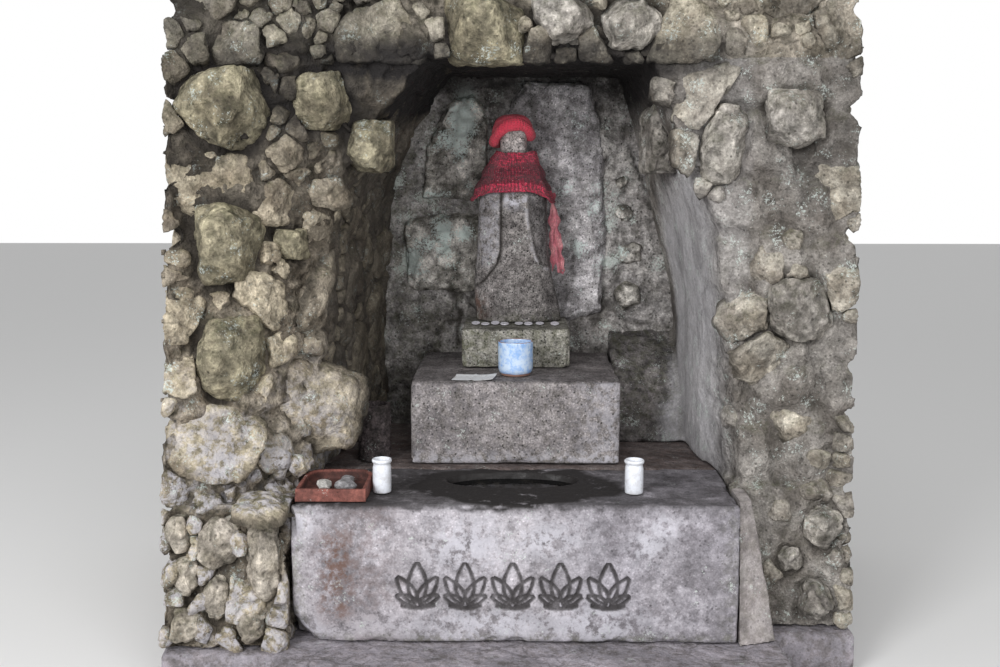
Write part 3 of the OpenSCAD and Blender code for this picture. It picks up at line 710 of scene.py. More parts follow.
@dataclass(frozen=True)
class StoneFinish:
    """Weathered stone, concrete or mortar.

    Attributes:
        name: Name of the material.
        pale: Colour of the clean stone.
        deep: Colour of its darker blotches.
        blotch: Size of the blotches.
        grain: Strength of the specks.
        grain_size: Size of a speck.
        crag: Strength of the painted shade in the hollows and the painted highlight on the crests.
        crag_size: Size of the largest of them.
        crack: Strength of the thin cracks.
        crack_size: Distance between two cracks.
        lichen: How much of the face the crusts cover, from 0 to 1.
        lichen_colour: Colour of the crusts.
        lichen_size: Distance between two crusts.
        moss: Strength of the moss mask.
        stain: Strength of the dark streaks.
        stain_colour: Colour of the streaks.
        tone: How far each stone's own tone moves its colour.
        rough: Roughness of the dry stone.
        relief: Height of the fine bump.
    """

    name: str
    pale: Colour
    deep: Colour
    blotch: float = 0.09
    grain: float = 0.35
    grain_size: float = 0.0045
    crag: float = 0.35
    crag_size: float = 0.05
    crack: float = 0.0
    crack_size: float = 0.11
    lichen: float = 0.0
    lichen_colour: Colour = (0.34, 0.41, 0.36)
    lichen_size: float = 0.06
    moss: float = 0.6
    stain: float = 0.35
    stain_colour: Colour = (0.045, 0.040, 0.036)
    tone: float = 0.5
    rough: float = 0.88
    relief: float = 0.006

    def build(self) -> Material:
        """Returns the finish as a material."""
        made, graph, shader = material(self.name)
        place = graph.place()
        patches = graph.noise(place, 0.020, 5.0, 0.72)
        flecks = graph.noise(place, 0.006, 2.0)
        soak_and_shade = graph.noise(place, 0.05, 4.0, 0.7)
        blotches = graph.between(graph.noise(place, self.blotch, 4.0, 0.66), 0.36, 0.64)
        colour = graph.mix(blotches, self.deep, self.pale)
        warm = graph.mix(graph.mask("tone"), (0.66, 0.64, 0.65), (1.34, 1.30, 1.20))
        colour = graph.mix(self.tone, colour, graph.mix(1.0, colour, warm, "MULTIPLY"))
        plain = graph.mask("plain")
        colour = graph.mix(graph.times(plain, 0.8), colour, (0.58, 0.57, 0.60))
        rugged = graph.minus(1.0, graph.times(graph.mask("calm"), 0.88))
        # Painted shade in the hollows and painted highlight on the crests.
        amount = graph.times(rugged, self.crag)
        crags = Effects.use(graph, "crags", place=place, scale=1 / self.crag_size, amount=amount)
        amount = graph.times(graph.minus(1.0, graph.times(plain, 0.55)), self.grain)
        grain = Effects.use(graph, "speckle", place=place, scale=1 / self.grain_size, amount=amount)
        for effect in (crags, grain):
            grey = graph.node("ShaderNodeCombineColor", dict.fromkeys(range(3), effect.outputs[0])).outputs[0]
            colour = graph.mix(1.0, colour, grey, "MULTIPLY")
        runs = Effects.use(graph, "streaks", place=place, amount=self.stain)
        colour = graph.mix(runs.outputs[0], colour, self.stain_colour)
        # Pale bloom, and a painted highlight where a piece's mask puts it.
        bloom_and_highlight = graph.times(graph.mask("bloom_and_highlight"), graph.between(patches, 0.42, 0.56))
        colour = graph.mix(bloom_and_highlight, colour, graph.mix(flecks, (0.50, 0.49, 0.55), (0.66, 0.65, 0.70)))
        cover = graph.plus(self.lichen, graph.mask("lichen"))
        crust = Effects.use(graph, "lichen", place=place, scale=1 / self.lichen_size, cover=cover)
        crust_colour = graph.mix(flecks, self.lichen_colour, (0.80, 0.84, 0.82))
        colour = graph.mix(graph.times(crust.outputs[0], 0.85), colour, crust_colour)
        green = graph.times(graph.times(graph.mask("moss"), graph.between(patches, 0.58, 0.40)), self.moss)
        colour = graph.mix(green, colour, graph.mix(flecks, (0.085, 0.095, 0.040), (0.17, 0.18, 0.085)))
        rust = graph.times(graph.mask("rust"), graph.between(patches, 0.38, 0.60))
        colour = graph.mix(rust, colour, (0.13, 0.070, 0.050))
        line = Effects.use(graph, "cracks", place=place, scale=1 / self.crack_size, amount=self.crack)
        # Painted shade in joints, hollows and grooves from the crevice mask, and the dark cracks.
        colour = graph.mix(graph.peak(graph.mask("crevice"), line.outputs[0]), colour, (0.028, 0.024, 0.020))
        # Darkens damp and soiled places, and paints shade where the pieces' masks put it.
        damp_and_shade = graph.times(graph.mask("damp_and_shade"), graph.between(soak_and_shade, 0.16, 0.50))
        colour = graph.mix(graph.math("MULTIPLY", damp_and_shade, 0.90, clamp=True), colour, (0.020, 0.018, 0.018))
        graph.feed(shader.inputs["Base Color"], colour)
        shader.inputs["Specular IOR Level"].default_value = 0.22
        wet = graph.times(graph.mask("wet"), graph.between(soak_and_shade, 0.3, 0.6))
        graph.feed(shader.inputs["Roughness"], graph.minus(self.rough, graph.times(wet, 0.62)))
        height = graph.plus(crags.outputs[1], graph.times(grain.outputs[1], 0.25))
        graph.bump(shader, graph.times(height, rugged), self.relief)
        return made


def lightened(obj: Obj, share: float) -> Obj:
    """Merges faces where the skin is flat, down to a share of them."""
    fewer = obj.modifiers.new("fewer", "DECIMATE")
    fewer.ratio = share
    return apply_modifiers(obj)


def dress(obj: Obj, finish: Material, share: float = 1.0) -> Obj:
    """Gives a piece its finish and lets it ride on the shrine.

    Args:
        obj: The piece.
        finish: Its material.
        share: Share of its faces that stays.

    Returns:
        The same piece.
    """
    if share < 1:
        lightened(obj, share)
    obj.data.materials.clear()
    obj.data.materials.append(finish)
    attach(obj, BODY)
    LOG.info("%s: %d faces", obj.name, len(obj.data.polygons))
    return obj


def fade(points: Array, spots: tuple[tuple[float, float, float, float], ...]) -> Array:
    """Works out a mask of round spots on an upright face.

    Args:
        points: Places on the face.
        spots: X, Z, half width and half height of each spot.

    Returns:
        One value a point, 1 at the middle of a spot.
    """
    ragged = 1 + 0.45 * Noise.fractal(points, 0.05, 301, 3)
    total = np.zeros(len(points))
    for x, z, wide, tall in spots:
        gap = ((points[:, 0] - x) / wide) ** 2 + ((points[:, 2] - z) / tall) ** 2
        total = np.maximum(total, np.exp(-gap * ragged))
    return total


def softened(obj: Obj, rounds: int) -> Obj:
    """Rounds the edges of an even skin.

    Args:
        obj: The skin.
        rounds: How many times it is smoothed.

    Returns:
        The same object.
    """
    smooth = obj.modifiers.new("round", "SMOOTH")
    smooth.iterations = rounds
    smooth.factor = 0.5
    return apply_modifiers(obj)


# Where the left and the right pieces of the wall meet.
SEAM_X = -0.02
# Nodes beside the wall that its facing stones may not touch.
KEPT_CLEAR = ("right_fillet", "altar_block", "terracotta_tray", "podium_fill", "flower_vase")
# Pale worn spots on the altar's front: X, Z and half sizes.
PALE_SPOTS = (
    (-0.435, 0.345, 0.045, 0.035), (-0.425, 0.128, 0.05, 0.035), (-0.10, 0.30, 0.09, 0.06),
    (0.06, 0.31, 0.08, 0.04), (0.27, 0.30, 0.04, 0.04), (0.30, 0.335, 0.03, 0.03),
    (0.16, 0.13, 0.12, 0.05), (-0.05, 0.13, 0.16, 0.035), (-0.30, 0.13, 0.16, 0.03),
)
# Petals of a carved bud: lean, length and width as shares of its height.
PETALS = ((0.0, 0.92, 0.21), (-0.62, 0.74, 0.15), (0.62, 0.74, 0.15), (-1.18, 0.50, 0.10), (1.18, 0.50, 0.10))
# Crusts of lichen at the niche's back: X, Z and half sizes.
LICHEN_SPOTS = (
    (-0.131, 1.209, 0.050, 0.075), (-0.240, 1.103, 0.026, 0.040), (-0.150, 1.140, 0.045, 0.040),
    (-0.273, 0.835, 0.042, 0.080), (-0.183, 0.880, 0.030, 0.075), (-0.143, 0.890, 0.022, 0.022),
    (0.220, 0.943, 0.062, 0.048), (0.157, 0.860, 0.026, 0.045), (0.207, 0.875, 0.022, 0.034),
    (0.285, 0.852, 0.026, 0.034), (0.219, 0.820, 0.040, 0.030), (0.355, 1.217, 0.060, 0.040),
    (-0.320, 1.010, 0.030, 0.045), (-0.230, 0.990, 0.070, 0.020), (0.120, 1.000, 0.030, 0.030),
)


@dataclass
class Rubble:
    """Knobs, chips and broken edges over the coarse form of a wall.

    Attributes:
        knob: Mean width of a knob.
        tall: How much taller than wide the knobs are.
        rise: How far a knob stands out.
        small: Mean width of the chips.
        seed: Number that sets the pattern.
    """

    knob: float = 0.062
    tall: float = 1.6
    rise: float = 0.016
    small: float = 0.024
    seed: int = 5

    def relief(self, points: Array, amount: Array) -> tuple[Array, Array, Array]:
        """Works out the relief.

        Args:
            points: Places on the wall.
            amount: How much stone shows there, from 0 to 1.

        Returns:
            Height over the mean face, the tone of each knob and the depth of
            the cracks from 0 to 1.
        """
        seed = self.seed
        bend = np.stack([Noise.fractal(points, 0.07, seed + s, 3) for s in (11, 12, 13)], axis=1) * 0.026
        lean = (points + bend) * (1.0, 1.0, 1 / self.tall)
        lean[:, 0] += 0.18 * points[:, 2]
        edge, tone, away = Noise.cells(lean, self.knob, seed)
        turn = TAU * ((tone * 7.3) % 1.0)
        tilt = (away[:, 0] * np.cos(turn) + away[:, 2] * np.sin(turn)) / self.knob
        knobbly = ramp(Noise.smooth(points, 0.15, seed + 21), -0.35, 0.45) * amount
        dome = 1 - (1 - ramp(edge, 0.0, 0.019)) ** 2
        block = self.rise * (0.65 * dome + 1.1 * tilt + 1.0 * (tone - 0.5) - 0.30) * knobbly
        edge2, tone2, away2 = Noise.cells(points + bend * 0.8, self.small, seed + 3)
        turn2 = TAU * ((tone2 * 5.1) % 1.0)
        tilt2 = (away2[:, 0] * np.cos(turn2) + away2[:, 2] * np.sin(turn2)) / self.small
        broken = ramp(Noise.smooth(points, 0.12, seed + 22), -0.3, 0.4) * (0.25 + 0.75 * amount)
        chip = (0.0075 * (tilt2 + 0.4 * tone2) - 0.0036 * (1 - ramp(edge2, 0.0, 0.006))) * broken
        ridge = 1 - 2 * np.abs(Noise.smooth(points + bend, 0.042, seed + 41))
        grit = Noise.fractal(points, 0.026, seed + 42, 3)
        rough = (0.0034 * ridge + 0.0050 * grit) * (0.08 + 0.92 * amount)
        swell = 0.0045 * Noise.fractal(points, 0.22, seed + 43, 2)
        gap = (1 - ramp(edge, 0.0, 0.006)) * knobbly * ramp(Noise.smooth(points, 0.07, seed + 51), -0.4, 0.2)
        crack = np.clip(gap + 0.3 * broken * (1 - ramp(edge2, 0.0, 0.004)), 0, 1)
        return block + chip + rough + swell - 0.007 * gap, 0.5 + (tone - 0.5) * knobbly, crack


def unit_ball(steps: int) -> tuple[Array, Array]:
    """Makes a ball of even triangles.

    Args:
        steps: How often its faces are split.

    Returns:
        Its points, at a distance of 1 from the middle, and its faces.
    """
    build = bmesh.new()
    bmesh.ops.create_icosphere(build, subdivisions=steps, radius=1.0)
    points = np.array([tuple(v.co) for v in build.verts])
    faces = np.array([[v.index for v in f.verts] for f in build.faces])
    build.free()
    return points / np.linalg.norm(points, axis=1)[:, None], faces


@dataclass
class Rock:
    """One broken stone: flat faces round a middle, with worn edges.

    Attributes:
        centre: Its middle.
        ways: Outward direction of each flat face, shape (n, 3).
        reach: How far each flat face lies from the middle.
        sharp: How crisp the edges are.
    """

    centre: Array
    ways: Array
    reach: Array
    sharp: float = 34.0

    def shape(self, ball: Array) -> Array:
        """Returns the points of a unit ball, drawn out to the stone's faces."""
        press = np.maximum(ball @ self.ways.T, 0) / self.reach
        return self.centre + ball * (press**self.sharp).sum(axis=1)[:, None] ** (-1 / self.sharp)


def unit(way: Array) -> Array:
    """Returns the directions at a length of 1."""
    return way / np.linalg.norm(way, axis=-1, keepdims=True)


LEFTWARD = np.array((-1.0, 0.0, 0.0))
UPWARD = np.array((0.0, 0.0, 1.0))


@dataclass
class Facing:
    """Broken stones set close together in the mortar of a wall's face.

    Attributes:
        side: How far the wall reaches to each side.
        top: How high it reaches.
        sill: Height of the opening's upper edge.
        proud: How far the stones stand out of the mean face.
        gap: Half the width of the joint between two stones.
        sink: How deep a stone's middle lies, as a share of its half width.
        seed: Number that sets the pattern.
    """

    side: float
    top: float
    sill: float
    proud: float = 0.011
    gap: float = 0.0022
    sink: float = 0.55
    seed: int = 31

    def width(self, points: Array) -> Array:
        """Returns the half width of the largest stones at each place.

        Args:
            points: Places on the wall.

        Returns:
            Half width in metres of each.
        """
        x, _, z = points.T
        wide = 0.130 + 0.012 * ramp(z, 0.95, 1.15) - 0.068 * (1 - ramp(z, 0.36, 0.50))
        wide = wide - 0.088 * ramp(x, -0.54, -0.48) * (1 - ramp(x, -0.37, -0.32)) * ramp(z, 0.90, 0.98)
        wide = wide - 0.040 * ramp(z, 1.24, 1.32) - 0.072 * ramp(x, 0.1, 0.4) * (1 - ramp(z, 1.24, 1.32))
        return np.maximum(wide * (1 + 0.30 * Noise.smooth(points, 0.25, self.seed)), 0.024)

    def seats(self, points: Array, share: Array, room: Array, edge: Array) -> list[tuple[int, float]]:
        """Chooses where stones sit, the large ones first.

        Args:
            points: Places on the wall.
            share: How many of the seats hold a stone, from 0 to 1.
            room: Free distance to the bedded stones.
            edge: Free distance to the wall's outer sides.

        Returns:
            Number of the place and half width of each stone.
        """
        dice = np.random.default_rng(self.seed)
        wide = self.width(points)
        chosen: list[tuple[int, float]] = []
        spots = np.empty((0, 3))
        sizes = np.empty(0)
        for scale, least in ((1.0, 0.80), (0.60, 0.80), (0.34, 0.82), (0.20, 0.84)):
            order = dice.permutation(len(points))[: int(1500 / scale**1.5)]
            for k in order:
                half = float(wide[k]) * scale * dice.uniform(0.82, 1.15)
                if room[k] < 0.42 * half or half < 0.015 or edge[k] < 0.50 * half:
                    continue
                apart = np.linalg.norm(spots - points[k], axis=1) - least * (sizes + half)
                if len(apart) and apart.min() < 0:
                    continue
                spots = np.vstack([spots, points[k]])
                sizes = np.append(sizes, half)
                if dice.uniform() < share[k]:
                    chosen.append((int(k), half))
        return chosen

    def rock(
        self, at: Array, out: Array, half: float, near: list[tuple[Array, float]], bed: Array,
        tight: bool, dice: object,
    ) -> Rock:
        """Shapes one stone.

        Args:
            at: Its seat on the wall.
            out: Direction out of the wall there.
            half: Its half width.
            near: Seat and half width of its neighbours.
            bed: Nearest place on a bedded stone.
            tight: Whether it fills the room between its neighbours.
            dice: Source of chance.

        Returns:
            The stone.
        """
        side = unit(np.cross(out, (0.3, 0.2, 1.0)))
        rise = np.cross(out, side)
        deep = half * self.sink
        ways, reach = [], []

        def face(way: Array, far: float) -> None:
            """Adds a flat face, with its distance from the seat."""
            ways.append(unit(way))
            reach.append(max(far + deep * float(unit(way) @ out), 0.25 * half))

        start = dice.uniform(0, TAU)
        for k in range(6):
            turn = start + TAU * (k + dice.uniform(-0.32, 0.32)) / 6
            way = math.cos(turn) * side + math.sin(turn) * rise + dice.uniform(0.0, 0.45) * out
            face(way, half * (dice.uniform(1.02, 1.65) if tight else dice.uniform(0.92, 1.30)))
        way = bed - at - float((bed - at) @ out) * out
        if np.linalg.norm(way) > 0.3 * half:
            face(way, float(np.linalg.norm(way)) - self.gap)
        for spot, other in near:
            way = spot - at
            far = float(np.linalg.norm(way))
            face(way, far * half / (half + other) - self.gap * dice.uniform(0.7, 2.2))
        lean = dice.uniform(0, TAU)
        tip = dice.uniform(0.04, 0.24)
        top = self.proud * dice.uniform(0.5, 1.4)
        face(out + tip * (math.cos(lean) * side + math.sin(lean) * rise), top - 0.3 * tip * half)
        for low, high, near_, far_ in (
            (0.25, 0.5, 0.1, 0.4), (0.6, 1.1, 0.45, 0.8), (0.6, 1.1, 0.45, 0.8), (0.7, 1.4, 0.5, 0.9)
        ):
            lean += TAU / 4 + dice.uniform(-0.6, 0.6)
            tip = dice.uniform(low, high)
            way = out + tip * (math.cos(lean) * side + math.sin(lean) * rise)
            face(way, (top + tip * half * dice.uniform(near_, far_)) / math.hypot(1.0, tip))
        face(-out, half)
        for way, limit in ((LEFTWARD, self.side), (-LEFTWARD, self.side), (UPWARD, self.top)):
            room = limit - float(way @ at)
            if room < 1.4 * half:
                ways.append(way)
                reach.append(max(room + deep * float(way @ out) - 0.001, 0.12 * half))
        room = float(at[2]) - self.sill + 0.010
        if -0.010 < room < 1.7 * half and abs(at[0]) < 0.47:
            ways.append(-UPWARD)
            reach.append(max(room - deep * float(out[2]) - 0.001, 0.12 * half))
        return Rock(at - out * deep, np.array(ways), np.array(reach))

    def build(
        self, name: str, points: Array, normals: Array, beds: Array, share: Array,
        seats: list[tuple[int, float]], all_seats: list[tuple[int, float]],
    ) -> tuple[Obj, Array, Array]:
        """Builds the stones of one piece.

        Args:
            name: Name of the piece.
            points: Places on the wall.
            normals: Directions out of the wall.
            beds: Nearest place on a bedded stone to each.
            share: How many of the seats hold a stone there.
            seats: The stones to build.
            all_seats: All the stones, for their neighbours.

        Returns:
            The piece, the tone of each point and its depth under the face.
        """
        balls = {steps: unit_ball(steps) for steps in (3, 4, 5)}
        spots = np.array([points[k] for k, _ in all_seats])
        sizes = np.array([half for _, half in all_seats])
        place, faces, tones, depths = [], [], [], []
        count = 0
        for k, half in seats:
            at, out = points[k], unit(normals[k])
            dice = np.random.default_rng(self.seed * 100003 + k)
            far = np.linalg.norm(spots - at, axis=1)
            near = [(spots[j], sizes[j]) for j in np.nonzero((far > 1e-6) & (far < 1.5 * (sizes + half)))[0]]
            stone = self.rock(at, out, half, near, beds[k], share[k] > 0.6, dice)
            ball, sides = balls[3 if half < 0.022 else 4 if half < 0.042 else 5]
            shape = stone.shape(ball)
            depth = -(shape - at) @ out
            kept = sides[depth[sides].min(axis=1) < 0.024]
            used, again = np.unique(kept, return_inverse=True)
            place.append(shape[used])
            faces += (again.reshape(kept.shape) + count).tolist()
            tones.append(np.full(len(used), dice.uniform()))
            depths.append(depth[used])
            count += len(used)
        obj = new_object(name, np.concatenate(place), faces)
        return obj, np.concatenate(tones), np.concatenate(depths)


@dataclass
class Coursing:
    """The single stones of the wall, found from the joints of its solids.

    Attributes:
        nodes: The CAD nodes whose faces show stones.
        hollow: How far a point lies behind its neighbours in a joint.
    """

    nodes: tuple[str, ...]
    hollow: float = 0.004

    def __post_init__(self) -> None:
        """Numbers the stones, and keeps the solids' faces for the search."""
        build = solids(list(self.nodes))
        bmesh.ops.triangulate(build, faces=build.faces)
        bmesh.ops.recalc_face_normals(build, faces=build.faces)
        build.normal_update()
        proud = set()
        for vert in build.verts:
            around = [e.other_vert(vert).co for e in vert.link_edges]
            mean = sum(around, Vector()) / max(len(around), 1)
            if (mean - vert.co).dot(vert.normal) < self.hollow:
                proud.add(vert)
        stones = islands(build, proud)
        number = {vert: k for k, group in enumerate(stones) for vert in group}
        self.owner = np.array([max(number.get(v, -1) for v in f.verts) for f in build.faces])
        self.tree = BVHTree.FromBMesh(build)
        self.tones = np.random.default_rng(12).uniform(0, 1, len(stones) + 1)
        build.free()

    def tone(self, points: Array) -> Array:
        """Returns the tone of the stone at each place, from 0 to 1."""
        near = np.array([self.tree.find_nearest(Vector(p))[2] for p in points])
        return self.tones[self.owner[near]]


@dataclass
class Masonry:
    """The mortared rubble round the niche, as one skin cut into pieces.

    Attributes:
        voxel: Size of the remesh in metres.
        rubble: The knobs and chips of the mortared face.
        masses: CAD nodes that the skin stands for.
        stones: CAD nodes of the bedded stones; the first nine are on the front.
    """

    voxel: float = 0.0066
    rubble: Rubble = field(default_factory=Rubble)
    masses: tuple[str, ...] = (
        "left_base", "left_jamb", "right_base", "right_jamb", "niche_head", "coping", "back_toe",
    )
    stones: tuple[str, ...] = (
        "left_base_stones", "left_jamb_stones", "left_head_stone", "right_base_stones",
        "right_jamb_stones", "right_boulder", "lintel_stone_left", "lintel_stone_centre",
        "lintel_stone_right", "back_slab", "back_stone_upper", "back_stone_lower", "back_stones_right",
    )

    def __post_init__(self) -> None:
        """Reads the levels that the masks depend on."""
        self.low, self.high = (Vector(c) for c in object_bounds())
        self.altar_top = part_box("altar_block")[1][2]
        self.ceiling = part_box("niche_head")[0][2]
        self.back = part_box("back_wall")[0][1]
        self.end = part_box("podium_fill")[1][0]
        self.coursing = Coursing((*self.masses[:6], "back_wall"))
        self.facing = Facing(self.high[0], self.high[2], self.ceiling)

    def inner(self, points: Array) -> Array:
        """Tells how far each place is inside the niche, from 0 to 1.

        Args:
            points: Places on the wall.

        Returns:
            1 well inside the niche and 0 outside it.
        """
        x, y, z = points.T
        return (
            ramp(y, -0.22, -0.04) * (np.abs(x) < 0.50)
            * (1 - ramp(z, self.ceiling + 0.02, self.ceiling + 0.12))
        )

    def stoniness(self, points: Array) -> Array:
        """Returns how much stone shows at each place, from 0 to 1.

        Args:
            points: Places on the wall.

        Returns:
            1 for bare stones and 0 for smooth mortar.
        """
        right = ramp(points[:, 0], 0.10, 0.30)
        value = 1.0 - 0.55 * right + 0.15 * Noise.smooth(points, 0.3, 33)
        value = value * (1 - self.inner(points) * (0.30 + 0.62 * right))
        return np.clip(value, 0.06, 1.0)

    def keep_clear(self, points: Array, rise: Array) -> tuple[Array, Array]:
        """Keeps the wall's relief behind the bedded stones.

        Args:
            points: Places on the wall.
            rise: Height of the relief.

        Returns:
            The height, lowered close to each stone, and how far each place
            lies on a stone, from 0 to 1.
        """
        tree = search_tree(list(self.stones))
        gap = np.array([(tree.find_nearest(Vector(p), 0.04)[3] or 0.04) for p in points])
        share = ramp(gap, 0.004, 0.030)
        return rise * share + (np.minimum(rise, 0.0) - 0.002) * (1 - share), 1 - ramp(gap, 0.001, 0.014)

    def hollows(self, obj: Obj, points: Array, normals: Array, rounds: int) -> Array:
        """Measures how deep each place lies in a joint or a dent.

        Args:
            obj: The even skin.
            points: Its points.
            normals: Its normals.
            rounds: How far the smooth form that it is held against reaches.

        Returns:
            The depth in metres, below 0 on crests.
        """
        copy = obj.copy()
        copy.data = obj.data.copy()
        bpy.context.scene.collection.objects.link(copy)
        bpy.context.view_layer.update()
        smooth = Skin(softened(copy, rounds)).points
        bpy.data.objects.remove(copy)
        return np.einsum("ij,ij->i", smooth - points, normals)

    def paint(self, skin: Skin, tone: Array, shade: Array, rise: Array, niche_shade_share: float = 1.0) -> None:
        """Paints tone, damp, moss, lichen, and painted shade in the joints and inside the niche, by place.

        Args:
            skin: The wall's skin.
            tone: Tone of each stone.
            shade: Depth of the joints and cracks from 0 to 1.
            rise: Height of the relief.
            niche_shade_share: Share of the painted shade inside the niche that the piece takes.
        """
        points = skin.points
        x, y, z = points.T
        inside = self.inner(points)
        left_in = inside * ramp(-x, 0.18, 0.30)
        right_in = inside * ramp(x, 0.20, 0.30)
        roof = inside * ramp(z, self.ceiling - 0.16, self.ceiling - 0.02)
        brow = (1 - ramp(np.abs(z - self.ceiling), 0.02, 0.06)) * (1 - ramp(np.abs(x), 0.42, 0.50)) * 0.8
        blot = 0.5 + 0.5 * Noise.fractal(points, 0.12, 61, 3)
        patch = ramp(Noise.fractal(points, 0.20, 65, 3), -0.15, 0.45)
        # Painted shade inside the niche: on the left inner wall, under the roof and along the lintel's brow.
        damp_and_shade = left_in * (0.70 + 0.30 * blot) + roof * (1.5 - 1.0 * ramp(x, 0.30, 0.38)) + brow * (1 - roof)
        low_wall = 1 - ramp(z, self.altar_top - 0.02, self.altar_top + 0.10)
        toe = inside * ramp(y, 0.26, 0.34) * (1 - ramp(z, 0.70, 0.78))
        # The niche's walls also darken low down, by the altar top and on the back toe.
        damp_and_shade = np.maximum(damp_and_shade, inside * low_wall * 0.5)
        damp_and_shade = np.maximum(damp_and_shade, toe * (0.30 + 0.35 * blot + 0.3 * low_wall))
        # Darker damp patches high on the front at both sides.
        top_left = ramp(-x, 0.18, 0.36) * ramp(z, 0.84, 1.18) * (0.40 + 0.60 * patch)
        top_right = ramp(x, 0.42, 0.60) * ramp(z, 0.85, 1.25) * (0.10 + 0.55 * patch)
        front = 1 - ramp(y, 0.0, 0.2)
        damp_and_shade = np.maximum(damp_and_shade, (top_left + top_right) * front)
        skin.paint("damp_and_shade", np.clip(damp_and_shade * (1 - inside * (1 - niche_shade_share)), 0, 1.4))
        skin.paint("crevice", np.clip(shade, 0, 0.94))
        skin.paint("tone", np.clip(tone, 0, 1))
        up = np.clip(skin.normals[:, 2], 0, 1)
        moss = up * 0.50 + 0.50 * ramp(z, 0.9, 1.2) * ramp(-x, 0.1, 0.4) * blot + 0.10 * blot
        skin.paint("moss", np.clip(moss, 0, 0.9))
        skin.paint("lichen", 0.10 * blot + 0.04 * right_in)
        flat = ramp(x, 0.34, 0.39) * (1 - ramp(y, 0.28, 0.36)) * (1 - roof)
        toe_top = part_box("back_toe")[1][2]
        low_back = ramp(y, 0.20, 0.24) * (1 - ramp(z, toe_top, toe_top + 0.04)) * (1 - ramp(x, 0.38, 0.41))
        plain = right_in * flat * (0.70 + 0.30 * blot) * (1 - low_back)
        skin.paint("plain", plain)
        skin.paint("calm", np.clip(np.maximum(plain, left_in * 0.8), 0, 1))
        pale = ramp(-z, -0.74, -0.34) * ramp(-x, 0.30, 0.45) * 0.72 * front
        skin.paint("bloom_and_highlight", np.clip(pale * ramp(rise, -0.002, 0.006), 0, 0.6))

    def face_with_stones(self, points: Array, normals: Array, hollow: Array) -> list[Obj]:
        """Sets broken stones in the mortar of the wall's front.

        Args:
            points: Places on the even skin.
            normals: Its directions.
            hollow: How deep each place lies in a joint.

        Returns:
            The stones at the left, at the right and over the niche.
        """
        x, y, z = points.T
        inside = self.inner(points)
        keep = (y < 0.02) | ((inside > 0.3) & (x < -0.3) & (y < 0.34))
        keep &= (inside < 0.3) | ((x < -0.3) & (normals[:, 0] > 0.5) & (z < self.ceiling - 0.04))
        keep &= (hollow < 0.006) & (z > 0.105) & (normals[:, 2] > -0.45)
        keep &= (np.abs(x) > self.end + 0.012) | (z > self.altar_top + 0.03)
        keep &= (normals[:, 1] < -0.35) | (inside > 0.3) | ((normals[:, 2] > 0.3) & (z < 1.2))
        spots = np.random.default_rng(4).permutation(np.nonzero(keep)[0])[:16000]
        points, normals = points[spots], normals[spots]
        x, y, z = points.T
        tree = search_tree([*self.stones, *KEPT_CLEAR])
        beds = np.array([tuple(tree.find_nearest(Vector(p))[0]) for p in points])
        room = np.linalg.norm(beds - points, axis=1)
        share = 1.0 - 0.78 * ramp(x, 0.36, 0.44) * (1 - ramp(x, 0.66, 0.70)) * (1 - ramp(z, 1.30, 1.36))
        beside = np.where(z < self.altar_top + 0.02, 0.6 * (np.abs(x) - self.end), 9.0)
        edge = np.minimum.reduce([self.high[0] - np.abs(x), self.high[2] - z, beside])
        seats = self.facing.seats(points, share, room, edge)
        pieces = []
        for name, finish, slot, mine in (
            ("left_facing", "left_stone", "left_jamb", lambda p: p[0] < SEAM_X and p[2] < self.ceiling),
            ("right_facing", "right_stone", "right_jamb", lambda p: p[0] >= SEAM_X and p[2] < self.ceiling),
            ("head_facing", "head_stone", "niche_head", lambda p: p[2] >= self.ceiling),
        ):
            own = [seat for seat in seats if mine(points[seat[0]])]
            obj, tone, depth = self.facing.build(name, points, normals, beds, share, own, seats)
            skin = Skin(obj)
            lumps = skin.noise(0.05, 71, 4)
            ridge = 1 - 2 * np.abs(Noise.smooth(skin.points + 0.01 * lumps[:, None], 0.030, 72))
            chips, chip, away = Noise.cells(skin.points + 0.010 * lumps[:, None], 0.044, 73)
            lean = (away[:, 0] * np.cos(TAU * 3 * chip) + away[:, 2] * np.sin(TAU * 3 * chip)) / 0.044
            skin.push(
                0.0024 * lumps + 0.0012 * ridge + 0.0062 * lean - 0.0024 * (1 - ramp(chips, 0.0, 0.005))
            )
            self.hold(skin)
            # Painted shade on each stone's sides, deeper where they sink into the mortar.
            self.paint(skin, 0.75 * tone + 0.25 * chip, 0.75 * ramp(depth, 0.002, 0.022), 0.004 - depth, 0.88)
            skin.store()
            pieces.append(dress(obj, self.stone_finish(finish), 0.52))
        return pieces

    def hold(self, skin: Skin) -> None:
        """Keeps a skin inside the shrine's box and clear of the altar.

        Args:
            skin: The skin, whose points are moved.
        """
        points = skin.points
        points[:, 0] = np.clip(points[:, 0], self.low[0], self.high[0])
        points[:, 2] = np.clip(points[:, 2], self.low[2] + 0.001, self.high[2])
        x, y, z = points.T
        below = (z < self.altar_top - 0.004) & (np.abs(x) > self.end - 0.03) & (y > -0.50)
        points[:, 0] = np.where(below, np.sign(x) * np.maximum(np.abs(x), self.end + 0.0015), x)

    def stone_finish(self, name: str) -> Material:
        """Returns the material of the facing stones of one side.

        Args:
            name: left_stone, right_stone or head_stone.

        Returns:
            The material.
        """
        pale, deep = {
            "left_stone": ((0.44, 0.395, 0.32), (0.20, 0.172, 0.135)),
            "right_stone": ((0.40, 0.38, 0.345), (0.21, 0.19, 0.165)),
            "head_stone": ((0.42, 0.395, 0.34), (0.19, 0.17, 0.14)),
        }[name]
        return StoneFinish(
            name, pale, deep, blotch=0.07, grain=0.62, grain_size=0.0055, crag=0.45, crack=0.45,
            crack_size=0.13,
            stain=0.35, lichen=0.12, relief=0.012, tone=1.0,
        ).build()

